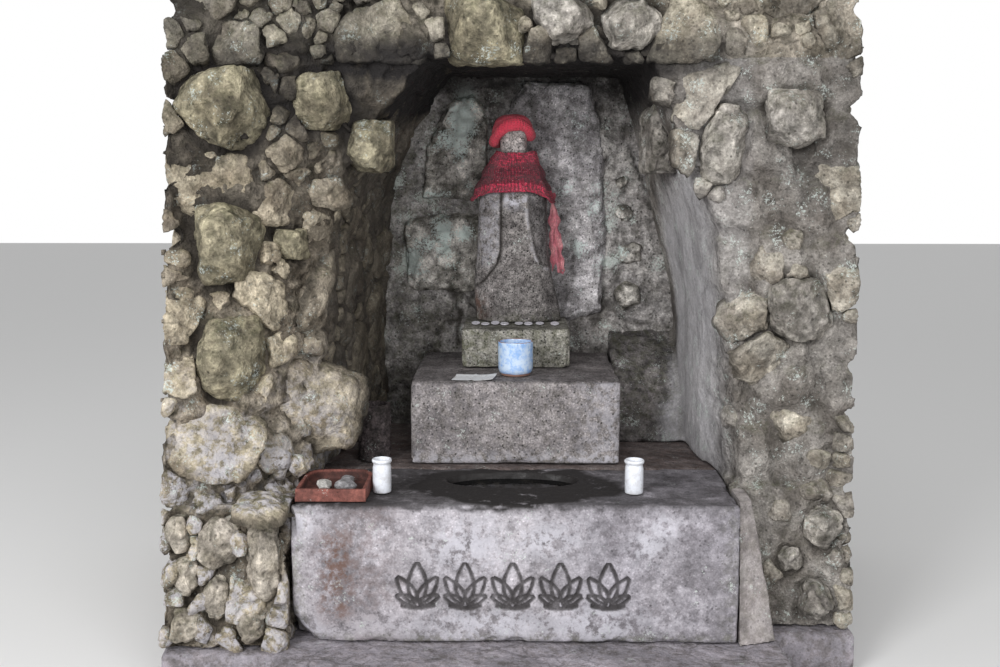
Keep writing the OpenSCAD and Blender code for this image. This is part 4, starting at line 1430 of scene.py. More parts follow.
    def weathered(self) -> tuple[Obj, list[Obj]]:
        """Builds the wall's mortared skin, and the stones that are set in it.

        Returns:
            The skin in one piece, and the stones at the left, at the right and
            over the niche.
        """
        wall = softened(remeshed(from_nodes("wall", [*self.masses, *self.stones[:9]]), self.voxel), 2)
        skin = Skin(wall)
        hollow = self.hollows(wall, skin.points, skin.normals, 60)
        facing = self.face_with_stones(skin.points, skin.normals, hollow)
        rise, fine, crack = self.rubble.relief(skin.points, self.stoniness(skin.points))
        rise, behind = self.keep_clear(skin.points, rise)
        toe_low, toe_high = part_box("back_toe")
        on_toe = (
            ramp(skin.points[:, 1], toe_low[1] - 0.02, toe_low[1] + 0.01)
            * (1 - ramp(skin.points[:, 2], toe_high[2], toe_high[2] + 0.03))
        )
        on_toe *= 1 - ramp(np.abs(skin.points[:, 0]), toe_high[0] - 0.01, toe_high[0] + 0.02)
        rise += on_toe * (0.012 * skin.noise(0.09, 37, 4) + 0.005 * skin.noise(0.025, 38, 3))
        x, y, z = skin.points.T
        outer = np.minimum(self.high[0] - np.abs(x), self.high[2] - z)
        near_side = 1 - ramp(outer, 0.006, 0.04)
        joint = ramp(hollow, 0.001, 0.006)
        faced = (1 - ramp(y, -0.02, 0.04)) * (1 - 0.7 * ramp(x, 0.40, 0.46)) * (1 - self.inner(skin.points))
        tone = 0.62 * self.coursing.tone(skin.points) + 0.38 * fine
        skin.push(
            np.clip(rise * (1 - 0.4 * joint), -0.016, 0.013) * (1 - 0.55 * near_side) - 0.002 * near_side
            - np.maximum(0.006 * faced, 0.019 * behind)
        )
        self.hold(skin)
        # Painted shade on the mortar next to the bedded stones and behind the facing stones, strongest at the
        # upper left; the joints' depth also paints shade into them.
        darkening = (
            0.4 * behind
            + faced * (1 - ramp(x, 0.30, 0.42)) * (0.26 + 0.40 * ramp(-x, 0.1, 0.3) * ramp(z, 0.75, 1.0))
        )
        self.paint(skin, tone, 0.70 * ramp(hollow, 0.0005, 0.0085) + 0.45 * crack + darkening, rise)
        skin.store()
        return wall, facing

    def finishes(self) -> tuple[Material, Material, Material, Material]:
        """Returns the materials of the left, the right, the head and the toe."""
        left = StoneFinish(
            "left_rubble", (0.42, 0.375, 0.31), (0.20, 0.168, 0.13), blotch=0.10, grain=0.62,
            grain_size=0.006,
            crag=0.75, crack=0.45, crack_size=0.15, stain=0.35, lichen=0.07, relief=0.020, tone=0.8,
        ).build()
        right = StoneFinish(
            "right_render", (0.31, 0.295, 0.28), (0.165, 0.15, 0.138), blotch=0.10, grain=0.60,
            grain_size=0.005,
            crag=0.34, crack=0.25, crack_size=0.20, stain=0.35, lichen=0.10, relief=0.016, tone=0.7,
        ).build()
        head = StoneFinish(
            "head_rubble", (0.33, 0.30, 0.255), (0.155, 0.138, 0.11), blotch=0.10, grain=0.60,
            grain_size=0.006,
            crag=0.68, crack=0.40, crack_size=0.14, stain=0.40, lichen=0.16, relief=0.018, tone=0.8,
        ).build()
        toe = StoneFinish(
            "toe_mortar", (0.225, 0.210, 0.212), (0.095, 0.088, 0.087), blotch=0.06, grain=0.70,
            grain_size=0.0055,
            crag=0.62, crack=0.35, crack_size=0.10, lichen=0.10, relief=0.014,
        ).build()
        return left, right, head, toe

    def build(self) -> list[Obj]:
        """Builds the wall's pieces.

        Returns:
            The pieces, each with the CAD nodes that it stands for hidden.
        """
        wall, facing = self.weathered()
        toe_low, toe_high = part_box("back_toe")
        middle = face_centres(wall)
        hidden = (middle[:, 1] > self.back - 0.003) & (middle[:, 2] < self.ceiling + 0.16)
        hidden |= middle[:, 2] < self.low[2] + 0.080
        hidden |= (np.abs(middle[:, 0]) < self.end - 0.004) & (middle[:, 2] < self.altar_top - 0.012)
        keep_faces(wall, ~hidden)
        lightened(wall, 0.42)
        middle = face_centres(wall)
        left = split_off(wall, "left_masonry", (middle[:, 0] < SEAM_X) & (middle[:, 2] < self.ceiling))
        middle = face_centres(wall)
        right = split_off(wall, "right_masonry", (middle[:, 0] >= SEAM_X) & (middle[:, 2] < self.ceiling))
        middle = face_centres(right)
        low_back = (
            (middle[:, 1] > toe_low[1] - 0.004) & (middle[:, 2] < toe_high[2] + 0.02)
            & (middle[:, 0] < toe_high[0] - 0.004)
        )
        toe = split_off(right, "toe_masonry", low_back)
        wall.name = "head_masonry"
        looks = self.finishes()
        for piece, finish, slot, nodes in (
            (left, looks[0], "left_jamb", ("left_base", "left_jamb")),
            (toe, looks[3], "back_toe", ("back_toe",)),
            (right, looks[1], "right_jamb", ("right_base", "right_jamb")),
            (wall, looks[2], "niche_head", ("niche_head", "coping")),
        ):
            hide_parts(*nodes)
            dress(piece, finish)
        return [left, right, toe, wall, *facing, self.shell(), self.niche_back()]

    def shell(self) -> Obj:
        """Builds the outer face of the back wall."""
        shell = softened(remeshed(from_nodes("back_masonry", ["back_wall"]), 0.0085), 4)
        skin = Skin(shell)
        hollow = self.hollows(shell, skin.points, skin.normals, 40)
        rise, fine, crack = self.rubble.relief(skin.points, np.ones(len(skin.points)))
        joint = ramp(hollow, 0.001, 0.006)
        tone = 0.62 * self.coursing.tone(skin.points) + 0.38 * fine
        skin.push(np.clip(rise * (1 - 0.4 * joint) - 0.003 - 0.002 * joint, -0.013, 0.004))
        skin.points[:, 1] -= 0.040 * (1 - ramp(skin.points[:, 1], self.back + 0.010, self.back + 0.060))
        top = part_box("coping")[0][2]
        skin.points[:, 2] += 0.020 * ramp(skin.points[:, 2], top - 0.035, top - 0.004)
        skin.points = np.clip(skin.points, (*self.low[:2], self.low[2] + 0.09), self.high)
        skin.paint("tone", tone)
        # Painted shade in the joints, with the cracks.
        skin.paint("crevice", np.clip(0.70 * ramp(hollow, 0.0005, 0.0085) + 0.45 * crack, 0, 0.94))
        skin.paint("moss", np.clip(skin.normals[:, 2], 0, 1) + 0.15)
        skin.store()
        middle = face_centres(shell)
        keep_faces(shell, (middle[:, 1] > self.back + 0.010) | (np.abs(middle[:, 0]) > self.high[0] - 0.035))
        finish = StoneFinish(
            "outer_rubble", (0.39, 0.355, 0.30), (0.20, 0.175, 0.14), blotch=0.10, grain=0.60,
            grain_size=0.006,
            crag=0.65, crack=0.30, crack_size=0.16, lichen=0.12, relief=0.018, tone=0.8,
        ).build()
        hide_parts("back_wall")
        return dress(shell, finish, 0.45)

    def niche_back(self) -> Obj:
        """Builds the mortared face between the stones at the niche's back."""
        step = 0.0058
        xs = np.arange(-self.end, self.end + 1e-4, step)
        zs = np.arange(self.altar_top - 0.01, self.ceiling + 0.03, step)
        gx, gz = np.meshgrid(xs, zs)
        points = np.stack([gx.ravel(), np.full(gx.size, self.back), gz.ravel()], axis=1)
        low_right = ramp(points[:, 0], 0.05, 0.2) * (1 - ramp(points[:, 2], 0.75, 0.9))
        rubble = Rubble(knob=0.10, tall=1.1, rise=0.016, small=0.030, seed=8)
        rise, tone, crack = rubble.relief(points, 0.85 - 0.35 * low_right)
        points[:, 1] -= np.clip(rise, -0.010, 0.014) + 0.003
        obj = new_object("niche_back", points, grid_faces(len(zs), len(xs)))
        skin = Skin(obj)
        skin.paint("tone", tone)
        x, _, z = points.T
        blot = 0.5 + 0.5 * Noise.fractal(points, 0.15, 63, 3)
        # Painted shade at the left side and under the ceiling; darker near the bottom too.
        damp_and_shade = (
            ramp(-x, 0.32, 0.42) * 0.85
            + (1 - ramp(z, self.altar_top - 0.02, self.altar_top + 0.16)) * 0.35
        )
        damp_and_shade += ramp(z, self.ceiling - 0.10, self.ceiling - 0.01) * 0.9
        skin.paint("damp_and_shade", np.clip(damp_and_shade + 0.10 * blot, 0, 0.94))
        # Painted shade where the face lies low, with the cracks.
        skin.paint("crevice", np.clip(crack * 0.75 + ramp(-rise, 0.002, 0.010) * 0.3, 0, 0.9))
        skin.paint("moss", 0.25 * ramp(-x, 0.0, 0.3) + 0.12)
        skin.paint("lichen", 0.62 * fade(points, LICHEN_SPOTS) + 0.06)
        skin.store()
        finish = StoneFinish(
            "niche_mortar", (0.39, 0.375, 0.375), (0.17, 0.16, 0.157), blotch=0.07, grain=0.85,
            grain_size=0.0055,
            crag=0.58, crack=0.30, crack_size=0.12, lichen=0.13, relief=0.012,
        ).build()
        return dress(obj, finish)


@dataclass
class BeddedStones:
    """Stones that stand out of the mortar, each with its own tone.

    Attributes:
        voxel: Size of the remesh in metres.
        roughness: Height of the chips in metres.
    """

    voxel: float = 0.006
    roughness: float = 0.0050

    def finishes(self) -> dict[str, Material]:
        """Returns the stones' materials by family."""
        return {
            "ochre": StoneFinish(
                "ochre_stone", (0.30, 0.275, 0.20), (0.18, 0.16, 0.115), blotch=0.09, grain=0.60,
                grain_size=0.006,
                crag=0.62, crack=0.35, crack_size=0.12, lichen=0.14, relief=0.014, tone=0.7,
            ).build(),
            "pale": StoneFinish(
                "pale_stone", (0.50, 0.46, 0.41), (0.24, 0.215, 0.18), blotch=0.07, grain=0.60,
                grain_size=0.006,
                crag=0.50, crack=0.35, crack_size=0.10, lichen=0.06, relief=0.012, tone=0.7,
            ).build(),
            "grey": StoneFinish(
                "grey_stone", (0.43, 0.41, 0.385), (0.22, 0.205, 0.19), blotch=0.07, grain=0.62,
                grain_size=0.006,
                crag=0.55, crack=0.30, crack_size=0.12, lichen=0.12, relief=0.012, tone=0.7,
            ).build(),
            "slab": StoneFinish(
                "slab_stone", (0.55, 0.53, 0.55), (0.33, 0.315, 0.33), blotch=0.09, grain=0.95,
                grain_size=0.0042,
                crag=0.50, crack=0.25, crack_size=0.18, lichen=0.07, lichen_colour=(0.66, 0.79, 0.77),
                relief=0.009,
                tone=0.3,
            ).build(),
            "lichened": StoneFinish(
                "lichened_stone", (0.54, 0.515, 0.485), (0.25, 0.235, 0.215), blotch=0.05, grain=0.85,
                crag=0.75,
                crack=0.30, crack_size=0.11, lichen=0.20, lichen_colour=(0.56, 0.71, 0.67), relief=0.012,
                tone=0.3,
            ).build(),
        }

    def corners(self, node: str) -> list[Array]:
        """Returns the points of each separate stone of a node.

        Args:
            node: The CAD node.

        Returns:
            One array of points for each stone.
        """
        build = solids([node])
        found = [np.array([tuple(vert.co) for vert in group]) for group in islands(build)]
        build.free()
        return found

    def rock(self, corners: Array, dice: object) -> Rock:
        """Shapes one broken stone inside the extents of its solid.

        Args:
            corners: Points of the solid.
            dice: Source of chance.

        Returns:
            The stone.
        """
        centre = (corners.min(axis=0) + corners.max(axis=0)) / 2
        half = (corners.max(axis=0) - corners.min(axis=0)) / 2
        ways, reach = [], []
        for axis in np.vstack([np.eye(3), -np.eye(3)]):
            ways.append(axis)
            reach.append(float(np.abs(axis) @ half))
        plan = [(0.0, 0.22, 0.95, 0.995)] + [(0.45, 0.95, 0.84, 0.95)] * 4 + [(1.2, 6.0, 0.80, 0.95)] * 6
        turn = dice.uniform(0, TAU)
        for k, (low, high, near, far) in enumerate(plan):
            turn += TAU / 4 if k < 5 else TAU / 6
            lean = turn + dice.uniform(-0.45, 0.45)
            tip = dice.uniform(low, high)
            way = unit(np.array([tip * math.cos(lean), -1.0, tip * math.sin(lean)]))
            ways.append(way)
            reach.append(float(np.max((corners - centre) @ way)) * dice.uniform(near, far))
        return Rock(centre, np.array(ways), np.array(reach), 26.0)

    def broken(self, node: str, seed: int) -> Obj:
        """Builds the angular stones of a node, without wear.

        Args:
            node: The CAD node.
            seed: Number that sets the breaks.

        Returns:
            The object.
        """
        ball, sides = unit_ball(5)
        place, faces = [], []
        for k, corners in enumerate(self.corners(node)):
            shape = self.rock(corners, np.random.default_rng(seed + 13 * k)).shape(ball)
            faces += (sides + len(ball) * k).tolist()
            place.append(shape)
        return new_object(node + "_worn", np.concatenate(place), faces)

    def stone(self, node: str, finish: Material, seed: int, damp_and_shade: float) -> Obj:
        """Builds the stones of one CAD node.

        Args:
            node: The CAD node.
            finish: Their material.
            seed: Number that sets their wear.
            damp_and_shade: How damp they are, from 0 to 1; the back stones also take painted shade.

        Returns:
            The piece.
        """
        if "back" in node or "boulder" in node:
            obj = remeshed(from_nodes(node + "_worn", [node]), self.voxel)
        else:
            obj = self.broken(node, seed)
        skin = Skin(obj)
        lumps = skin.noise(0.06, seed, 4)
        ridge = 1 - 2 * np.abs(Noise.smooth(skin.points, 0.035, seed + 5))
        edge, tone, _ = Noise.cells(skin.points + 0.012 * lumps[:, None], 0.05, seed + 9)
        chips = 1 - ramp(edge, 0.0, 0.007)
        rough = self.roughness * (1.8 if "back" in node else 1.0)
        skin.push(rough * lumps + 0.0022 * ridge - 0.0035 * chips + 0.003 * (tone - 0.5) - 0.002)
        whole = 0.5 + 0.5 * Noise.smooth(skin.points, 0.16, seed + 3)
        skin.paint("tone", np.clip(whole * 0.75 + 0.25 * tone, 0, 1))
        skin.paint("crevice", chips * 0.40)
        skin.paint("moss", np.clip(skin.normals[:, 2], 0, 1) * 0.4 + 0.15)
        # Painted shade on the back stones, towards the left side and under the ceiling.
        left = ramp(-skin.points[:, 0], 0.31, 0.40) if "back" in node else 0.0
        high = ramp(skin.points[:, 2], 1.30, 1.345) if "back" in node else 0.0
        skin.paint("damp_and_shade", np.clip(damp_and_shade + 0.5 * left + 1.2 * high + np.zeros(len(skin.points)), 0, 0.9))
        skin.paint("lichen", 0.62 * fade(skin.points, LICHEN_SPOTS) * ("back" in node))
        skin.store()
        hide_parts(node)
        return dress(obj, finish, 1.0 if "back" in node else 0.45)

    def build(self) -> list[Obj]:
        """Builds all the bedded stones."""
        looks = self.finishes()
        plan = (
            ("left_base_stones", "pale", 0.0), ("left_jamb_stones", "ochre", 0.0),
            ("left_head_stone", "ochre", 0.10), ("right_base_stones", "grey", 0.0),
            ("right_jamb_stones", "grey", 0.08), ("right_boulder", "grey", 0.0),
            ("lintel_stone_left", "ochre", 0.0), ("lintel_stone_centre", "grey", 0.0),
            ("lintel_stone_right", "grey", 0.10), ("back_slab", "slab", 0.04),
            ("back_stone_upper", "lichened", 0.06), ("back_stone_lower", "lichened", 0.06),
            ("back_stones_right", "lichened", 0.0),
        )
        return [self.stone(node, looks[look], 100 + 7 * k, damp_and_shade) for k, (node, look, damp_and_shade) in enumerate(plan)]


@dataclass
class CarvedBand:
    """A row of plain lotus buds cut into the altar's front.

    Attributes:
        count: How many buds stand in the row.
        middle: X of the row's middle.
        height_at: Z of the row's middle.
        pitch: Distance from bud to bud.
        height: Height of a bud.
        stroke: Width of a carved line.
        depth: Depth of a carved line.
    """

    count: int = 5
    middle: float = -0.004
    height_at: float = 0.214
    pitch: float = 0.098
    height: float = 0.098
    stroke: float = 0.0095
    depth: float = 0.0055

    def cut(self, x: Array, z: Array, wear: Array) -> Array:
        """Works out how deep the carving is.

        Args:
            x: Places across the front.
            z: Heights on the front.
            wear: Noise that frays the strokes.

        Returns:
            Depth from 0 on the face to 1 in a groove.
        """
        along = (x - self.middle) / self.pitch + self.count / 2
        number = np.clip(np.floor(along), 0, self.count - 1)
        dx = (along - number - 0.5) * self.pitch
        dz = z - self.height_at
        root = -0.42 * self.height
        thick = self.stroke * (0.95 + 0.35 * wear)
        groove = np.zeros(len(x))
        for lean, long, wide in PETALS:
            turned_x = dx * math.cos(lean) - (dz - root) * math.sin(lean)
            turned_z = dx * math.sin(lean) + (dz - root) * math.cos(lean)
            t = turned_z / (self.height * long)
            inside = (t > 0.04) & (t < 1)
            half = (
                wide * self.height * np.sin(math.pi * np.clip(t, 0, 1)) ** 0.75
                * (1.15 - 0.5 * np.clip(t, 0, 1))
            )
            near = np.abs(np.abs(turned_x) - half)
            groove = np.maximum(groove, np.where(inside, 1 - ramp(near, thick * 0.22, thick * 0.62), 0))
        foot = np.abs(dz - root + 0.008 - 5 * dx**2)
        bar = (1 - ramp(foot, thick * 0.3, thick * 0.7)) * (np.abs(dx) < 0.36 * self.pitch)
        return np.maximum(groove, bar) * ramp(wear, -0.95, -0.55)


@dataclass
class Steps:
    """Footing, altar with its basin, floor, middle block and plinth.

    Attributes:
        band: The carved buds on the altar's front.
        basin_at: X and Y of the basin's middle.
        basin_half: Half width and half depth of the basin.
    """

    band: CarvedBand = field(default_factory=CarvedBand)
    basin_at: tuple[float, float] = (-0.006, -0.190)
    basin_half: tuple[float, float] = (0.142, 0.062)

    def worn(self, node: str, voxel: float, seed: int, chip: float = 0.009) -> Skin:
        """Gives a block an even skin with rounded, chipped edges.

        Args:
            node: The CAD node.
            voxel: Width of a quad.
            seed: Number that sets the wear.
            chip: Depth of the largest chips.

        Returns:
            The skin, with its tone painted.
        """
        obj = remeshed(from_nodes(node + "_worn", [node]), voxel)
        skin = Skin(obj)
        low, high = (np.array(c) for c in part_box(node))
        gaps = np.sort(np.minimum(skin.points - low, high - skin.points), axis=1)
        edge = 1 - ramp(gaps[:, 1], 0.0, 0.016)
        chips = ramp(skin.noise(0.05, seed, 4), 0.0, 0.5)
        inward = (low + high) / 2 - skin.points
        inward /= np.maximum(np.linalg.norm(inward, axis=1), 1e-6)[:, None]
        skin.points += inward * (edge * (0.0012 + chip * chips))[:, None]
        skin.push(0.0018 * skin.noise(0.10, seed + 1, 4) - 0.0014)
        skin.paint("tone", 0.5 + 0.4 * skin.noise(0.2, seed + 2, 3))
        return skin

    def altar(self) -> Obj:
        """Builds the altar block with the basin and the carved band."""
        skin = self.worn("altar_block", 0.0055, 71, 0.013)
        low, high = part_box("altar_block")
        corner = np.maximum(skin.points[:, 0] - low[0], 0) + 0.9 * np.maximum(skin.points[:, 2] - low[2], 0)
        corner += 0.020 * skin.noise(0.04, 76, 3)
        lost = (1 - ramp(corner, 0.030, 0.062)) * (1 - ramp(skin.points[:, 1], low[1] + 0.02, low[1] + 0.09))
        skin.points[:, 1] += 0.026 * lost
        skin.store()
        block = skin.obj
        build = bmesh.new()
        build.from_mesh(block.data)
        reach = self.band.pitch * self.band.count / 2 + 0.012
        tall = self.band.height * 0.62
        chosen = [
            f for f in build.faces
            if f.normal.y < -0.8 and abs(f.calc_center_median().x - self.band.middle) < reach
            and abs(f.calc_center_median().z - self.band.height_at) < tall
        ]
        edges = list({e for f in chosen for e in f.edges})
        bmesh.ops.subdivide_edges(build, edges=edges, cuts=1, use_grid_fill=True)
        build.to_mesh(block.data)
        build.free()
        skin = Skin(block)
        x, y, z = skin.points.T
        front = ramp(-skin.normals[:, 1], 0.3, 0.7)
        skin.paint("tone", np.clip(0.5 + 0.3 * skin.noise(0.16, 77, 3) - 0.28 * ramp(x, 0.02, 0.22), 0, 1))
        wear = skin.noise(0.012, 73, 3)
        cut = self.band.cut(x, z, wear) * (front > 0.5)
        skin.points[:, 1] += cut * self.band.depth * (0.8 + 0.3 * wear)
        dx, dy = x - self.basin_at[0], y - self.basin_at[1]
        round_ = np.hypot(dx / self.basin_half[0], dy / self.basin_half[1])
        ragged = 0.22 * skin.noise(0.07, 74, 4)
        top = ramp(z, high[2] - 0.06, high[2] - 0.012) * ramp(skin.normals[:, 2], 0.0, 0.5)
        pool = (round_ < 1.08) & (z > low[2] + 0.15) & (y > low[1] + 0.04)
        margin = np.hypot((dx - 0.005) / 0.270, (dy + 0.050) / 0.185)
        soot = top * (1 - ramp(margin + ragged, 0.66, 1.10))
        darkening = 0.5 + 0.5 * skin.noise(0.10, 75, 4)
        grime = top * (0.62 + 0.36 * darkening + 0.20 * ramp(-x, 0.05, 0.30) - 0.20 * ramp(x, 0.15, 0.35))
        lip = front * ramp(z, high[2] - 0.030, high[2] - 0.006) * darkening * 0.5
        damp_and_shade = np.maximum.reduce([pool * 1.6, soot * 1.4, grime, lip, cut * (0.72 + 0.2 * wear)])
        skin.paint("damp_and_shade", np.clip(damp_and_shade, 0, 1.5))
        skin.paint("wet", np.clip(np.maximum(pool * 0.8, soot * 0.30), 0, 1.2))
        skin.paint("crevice", np.clip(np.maximum(cut * 0.55, pool * 0.90), 0, 0.94))
        pale = fade(skin.points, PALE_SPOTS)
        skin.paint("bloom_and_highlight", np.clip(front * (0.75 * pale + 0.06) * (1 - cut), 0, 0.9))
        green = (
            ramp(-x, 0.415, 0.452) + 0.5 * ramp(x, 0.40, 0.45)
            + (1 - ramp(z, low[2] + 0.004, low[2] + 0.03))
        )
        skin.paint("moss", np.clip(front * 0.55 * green, 0, 0.7))
        streak = np.exp(-(((x + 0.372) / 0.034) ** 2)) * ramp(z, low[2] + 0.02, low[2] + 0.07)
        streak *= 1 - ramp(z, high[2] - 0.10, high[2] - 0.02)
        drip = np.exp(-(((x + 0.30) / 0.08) ** 2))
        skin.paint("rust", np.clip(front * (streak * 0.95 + 0.30 * drip), 0, 0.85))
        skin.store()
        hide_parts("altar_block")
        finish = StoneFinish(
            "altar_stone", (0.385, 0.370, 0.410), (0.217, 0.206, 0.228), blotch=0.06, grain=0.50,
            grain_size=0.0045,
            crag=0.30, crag_size=0.07, stain=0.22, tone=0.6, relief=0.004,
        )
        return dress(block, finish.build(), 0.75)

    def water(self) -> Obj:
        """Builds the still water in the basin."""
        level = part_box("altar_block")[1][2] - 0.015
        rings, sides = 10, 64
        points: list[Point] = [(*self.basin_at, level)]
        for r in range(1, rings + 1):
            for k in range(sides):
                t = TAU * k / sides
                share = 0.975 * r / rings
                x = self.basin_at[0] + self.basin_half[0] * share * math.cos(t)
                y = self.basin_at[1] + self.basin_half[1] * share * math.sin(t)
                points.append((x, y, level))
        faces: list[tuple[int, ...]] = [(0, 1 + k, 1 + (k + 1) % sides) for k in range(sides)]
        for r in range(rings - 1):
            for k in range(sides):
                a = 1 + r * sides + k
                b = 1 + r * sides + (k + 1) % sides
                faces.append((a, a + sides, b + sides, b))
        obj = new_object("basin_water", points, faces)
        Skin(obj).store()
        made, graph, shader = material("still_water")
        place = graph.place()
        film = graph.between(graph.noise(place, 0.03, 5.0, 0.7), 0.50, 0.66)
        graph.feed(
            shader.inputs["Base Color"], graph.mix(film, (0.002, 0.0022, 0.0025), (0.012, 0.011, 0.009))
        )
        graph.feed(shader.inputs["Roughness"], graph.plus(0.05, graph.times(film, 0.22)))
        shader.inputs["Specular IOR Level"].default_value = 0.10
        graph.bump(shader, graph.noise(place, 0.04), 0.0008)
        return dress(obj, made)

    def block(self, node: str, voxel: float, seed: int) -> Skin:
        """Builds a cast block with a dirty top and returns its skin.

        Args:
            node: The CAD node.
            voxel: Size of the remesh.
            seed: Seed of its noise.

        Returns:
            The block's skin, not stored yet.
        """
        skin = self.worn(node, voxel, seed)
        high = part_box(node)[1]
        top = ramp(skin.normals[:, 2], 0.2, 0.7) * ramp(skin.points[:, 2], high[2] - 0.02, high[2] - 0.006)
        skin.paint("damp_and_shade", np.clip(top * (0.42 + 0.45 * skin.noise(0.06, seed + 5, 4)), 0, 0.95))
        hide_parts(node)
        return skin

    def build(self) -> list[Obj]:
        """Builds the ledge, the blocks and the niche floor."""
        pieces = [self.altar(), self.water()]
        middle = self.block("middle_block", 0.006, 81)
        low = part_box("middle_block")[0]
        x, _, z = middle.points.T
        front = ramp(-middle.normals[:, 1], 0.3, 0.7)
        foot = ramp(-z, -low[2] - 0.045, -low[2])
        middle.paint("bloom_and_highlight", front * (0.5 * foot + 0.3 * ramp(x, 0.10, 0.22) + 0.05))
        middle.paint("moss", front * 0.10 + 0.2 * ramp(-z, -low[2] - 0.03, -low[2]))
        middle.store()
        dress(middle.obj, StoneFinish(
            "middle_stone", (0.262, 0.243, 0.250), (0.155, 0.142, 0.146), blotch=0.05, grain=1.05,
            grain_size=0.0045,
            crag=0.25, crag_size=0.06, stain=0.10, tone=0.5, relief=0.005,
        ).build(), 0.6)
        plinth = self.block("plinth_block", 0.0048, 91)
        plinth.paint("moss", 0.30 + 0.25 * ramp(-plinth.points[:, 0], 0.05, 0.13))
        plinth.store()
        dress(plinth.obj, StoneFinish(
            "plinth_stone", (0.28, 0.272, 0.25), (0.165, 0.16, 0.14), blotch=0.04, grain=1.3,
            grain_size=0.0045,
            crag=0.25, crag_size=0.04, stain=0.12, tone=0.4, relief=0.0035, moss=0.6,
        ).build(), 0.7)
        return pieces + [middle.obj, plinth.obj, self.floor(), self.ledge()]

    def floor(self) -> Obj:
        """Builds the damp floor of the niche round the middle block."""
        skin = self.worn("podium_fill", 0.0085, 95)
        grit = skin.noise(0.03, 96, 3)
        skin.push(0.0016 * grit)
        skin.paint("damp_and_shade", np.clip(0.42 + 0.35 * grit, 0, 0.9))
        skin.paint("rust", np.full(len(skin.points), 0.3))
        skin.store()
        keep_faces(skin.obj, face_centres(skin.obj)[:, 2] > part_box("podium_fill")[1][2] - 0.03)
        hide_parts("podium_fill")
        finish = StoneFinish(
            "niche_floor", (0.24, 0.21, 0.21), (0.12, 0.10, 0.10), grain=0.6, crag=0.4, relief=0.008
        )
        return dress(skin.obj, finish.build())

    def ledge(self) -> Obj:
        """Builds the footing with the ledge in front."""
        skin = self.worn("footing", 0.014, 97, 0.006)
        skin.paint("damp_and_shade", np.clip(0.30 + 0.3 * skin.noise(0.08, 98, 3), 0, 0.8))
        skin.paint("moss", np.full(len(skin.points), 0.25))
        skin.paint("bloom_and_highlight", np.full(len(skin.points), 0.25))
        skin.store()
        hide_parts("footing")
        finish = StoneFinish(
            "ledge_concrete", (0.385, 0.352, 0.40), (0.225, 0.205, 0.232), grain=0.5, crag=0.3, crack=0.4,
            relief=0.007
        )
        return dress(skin.obj, finish.build(), 0.5)


def line_gap(points: Array, line: tuple[tuple[float, float], ...]) -> tuple[Array, Array]:
    """Measures from each place to a line on the front.

    Args:
        points: Places on the front.
        line: X and Z of the line's points.

    Returns:
        Distance to the line, and how far right of it the place is.
    """
    best = np.full(len(points), 9.0)
    side = np.zeros(len(points))
    for (x0, z0), (x1, z1) in zip(line, line[1:]):
        way = np.array([x1 - x0, z1 - z0])
        rel = points[:, [0, 2]] - np.array([x0, z0])
        t = np.clip(rel @ way / (way @ way), 0, 1)
        off = rel - np.outer(t, way)
        gap = np.hypot(off[:, 0], off[:, 1])
        side = np.where(gap < best, off[:, 0], side)
        best = np.minimum(best, gap)
    return best, side


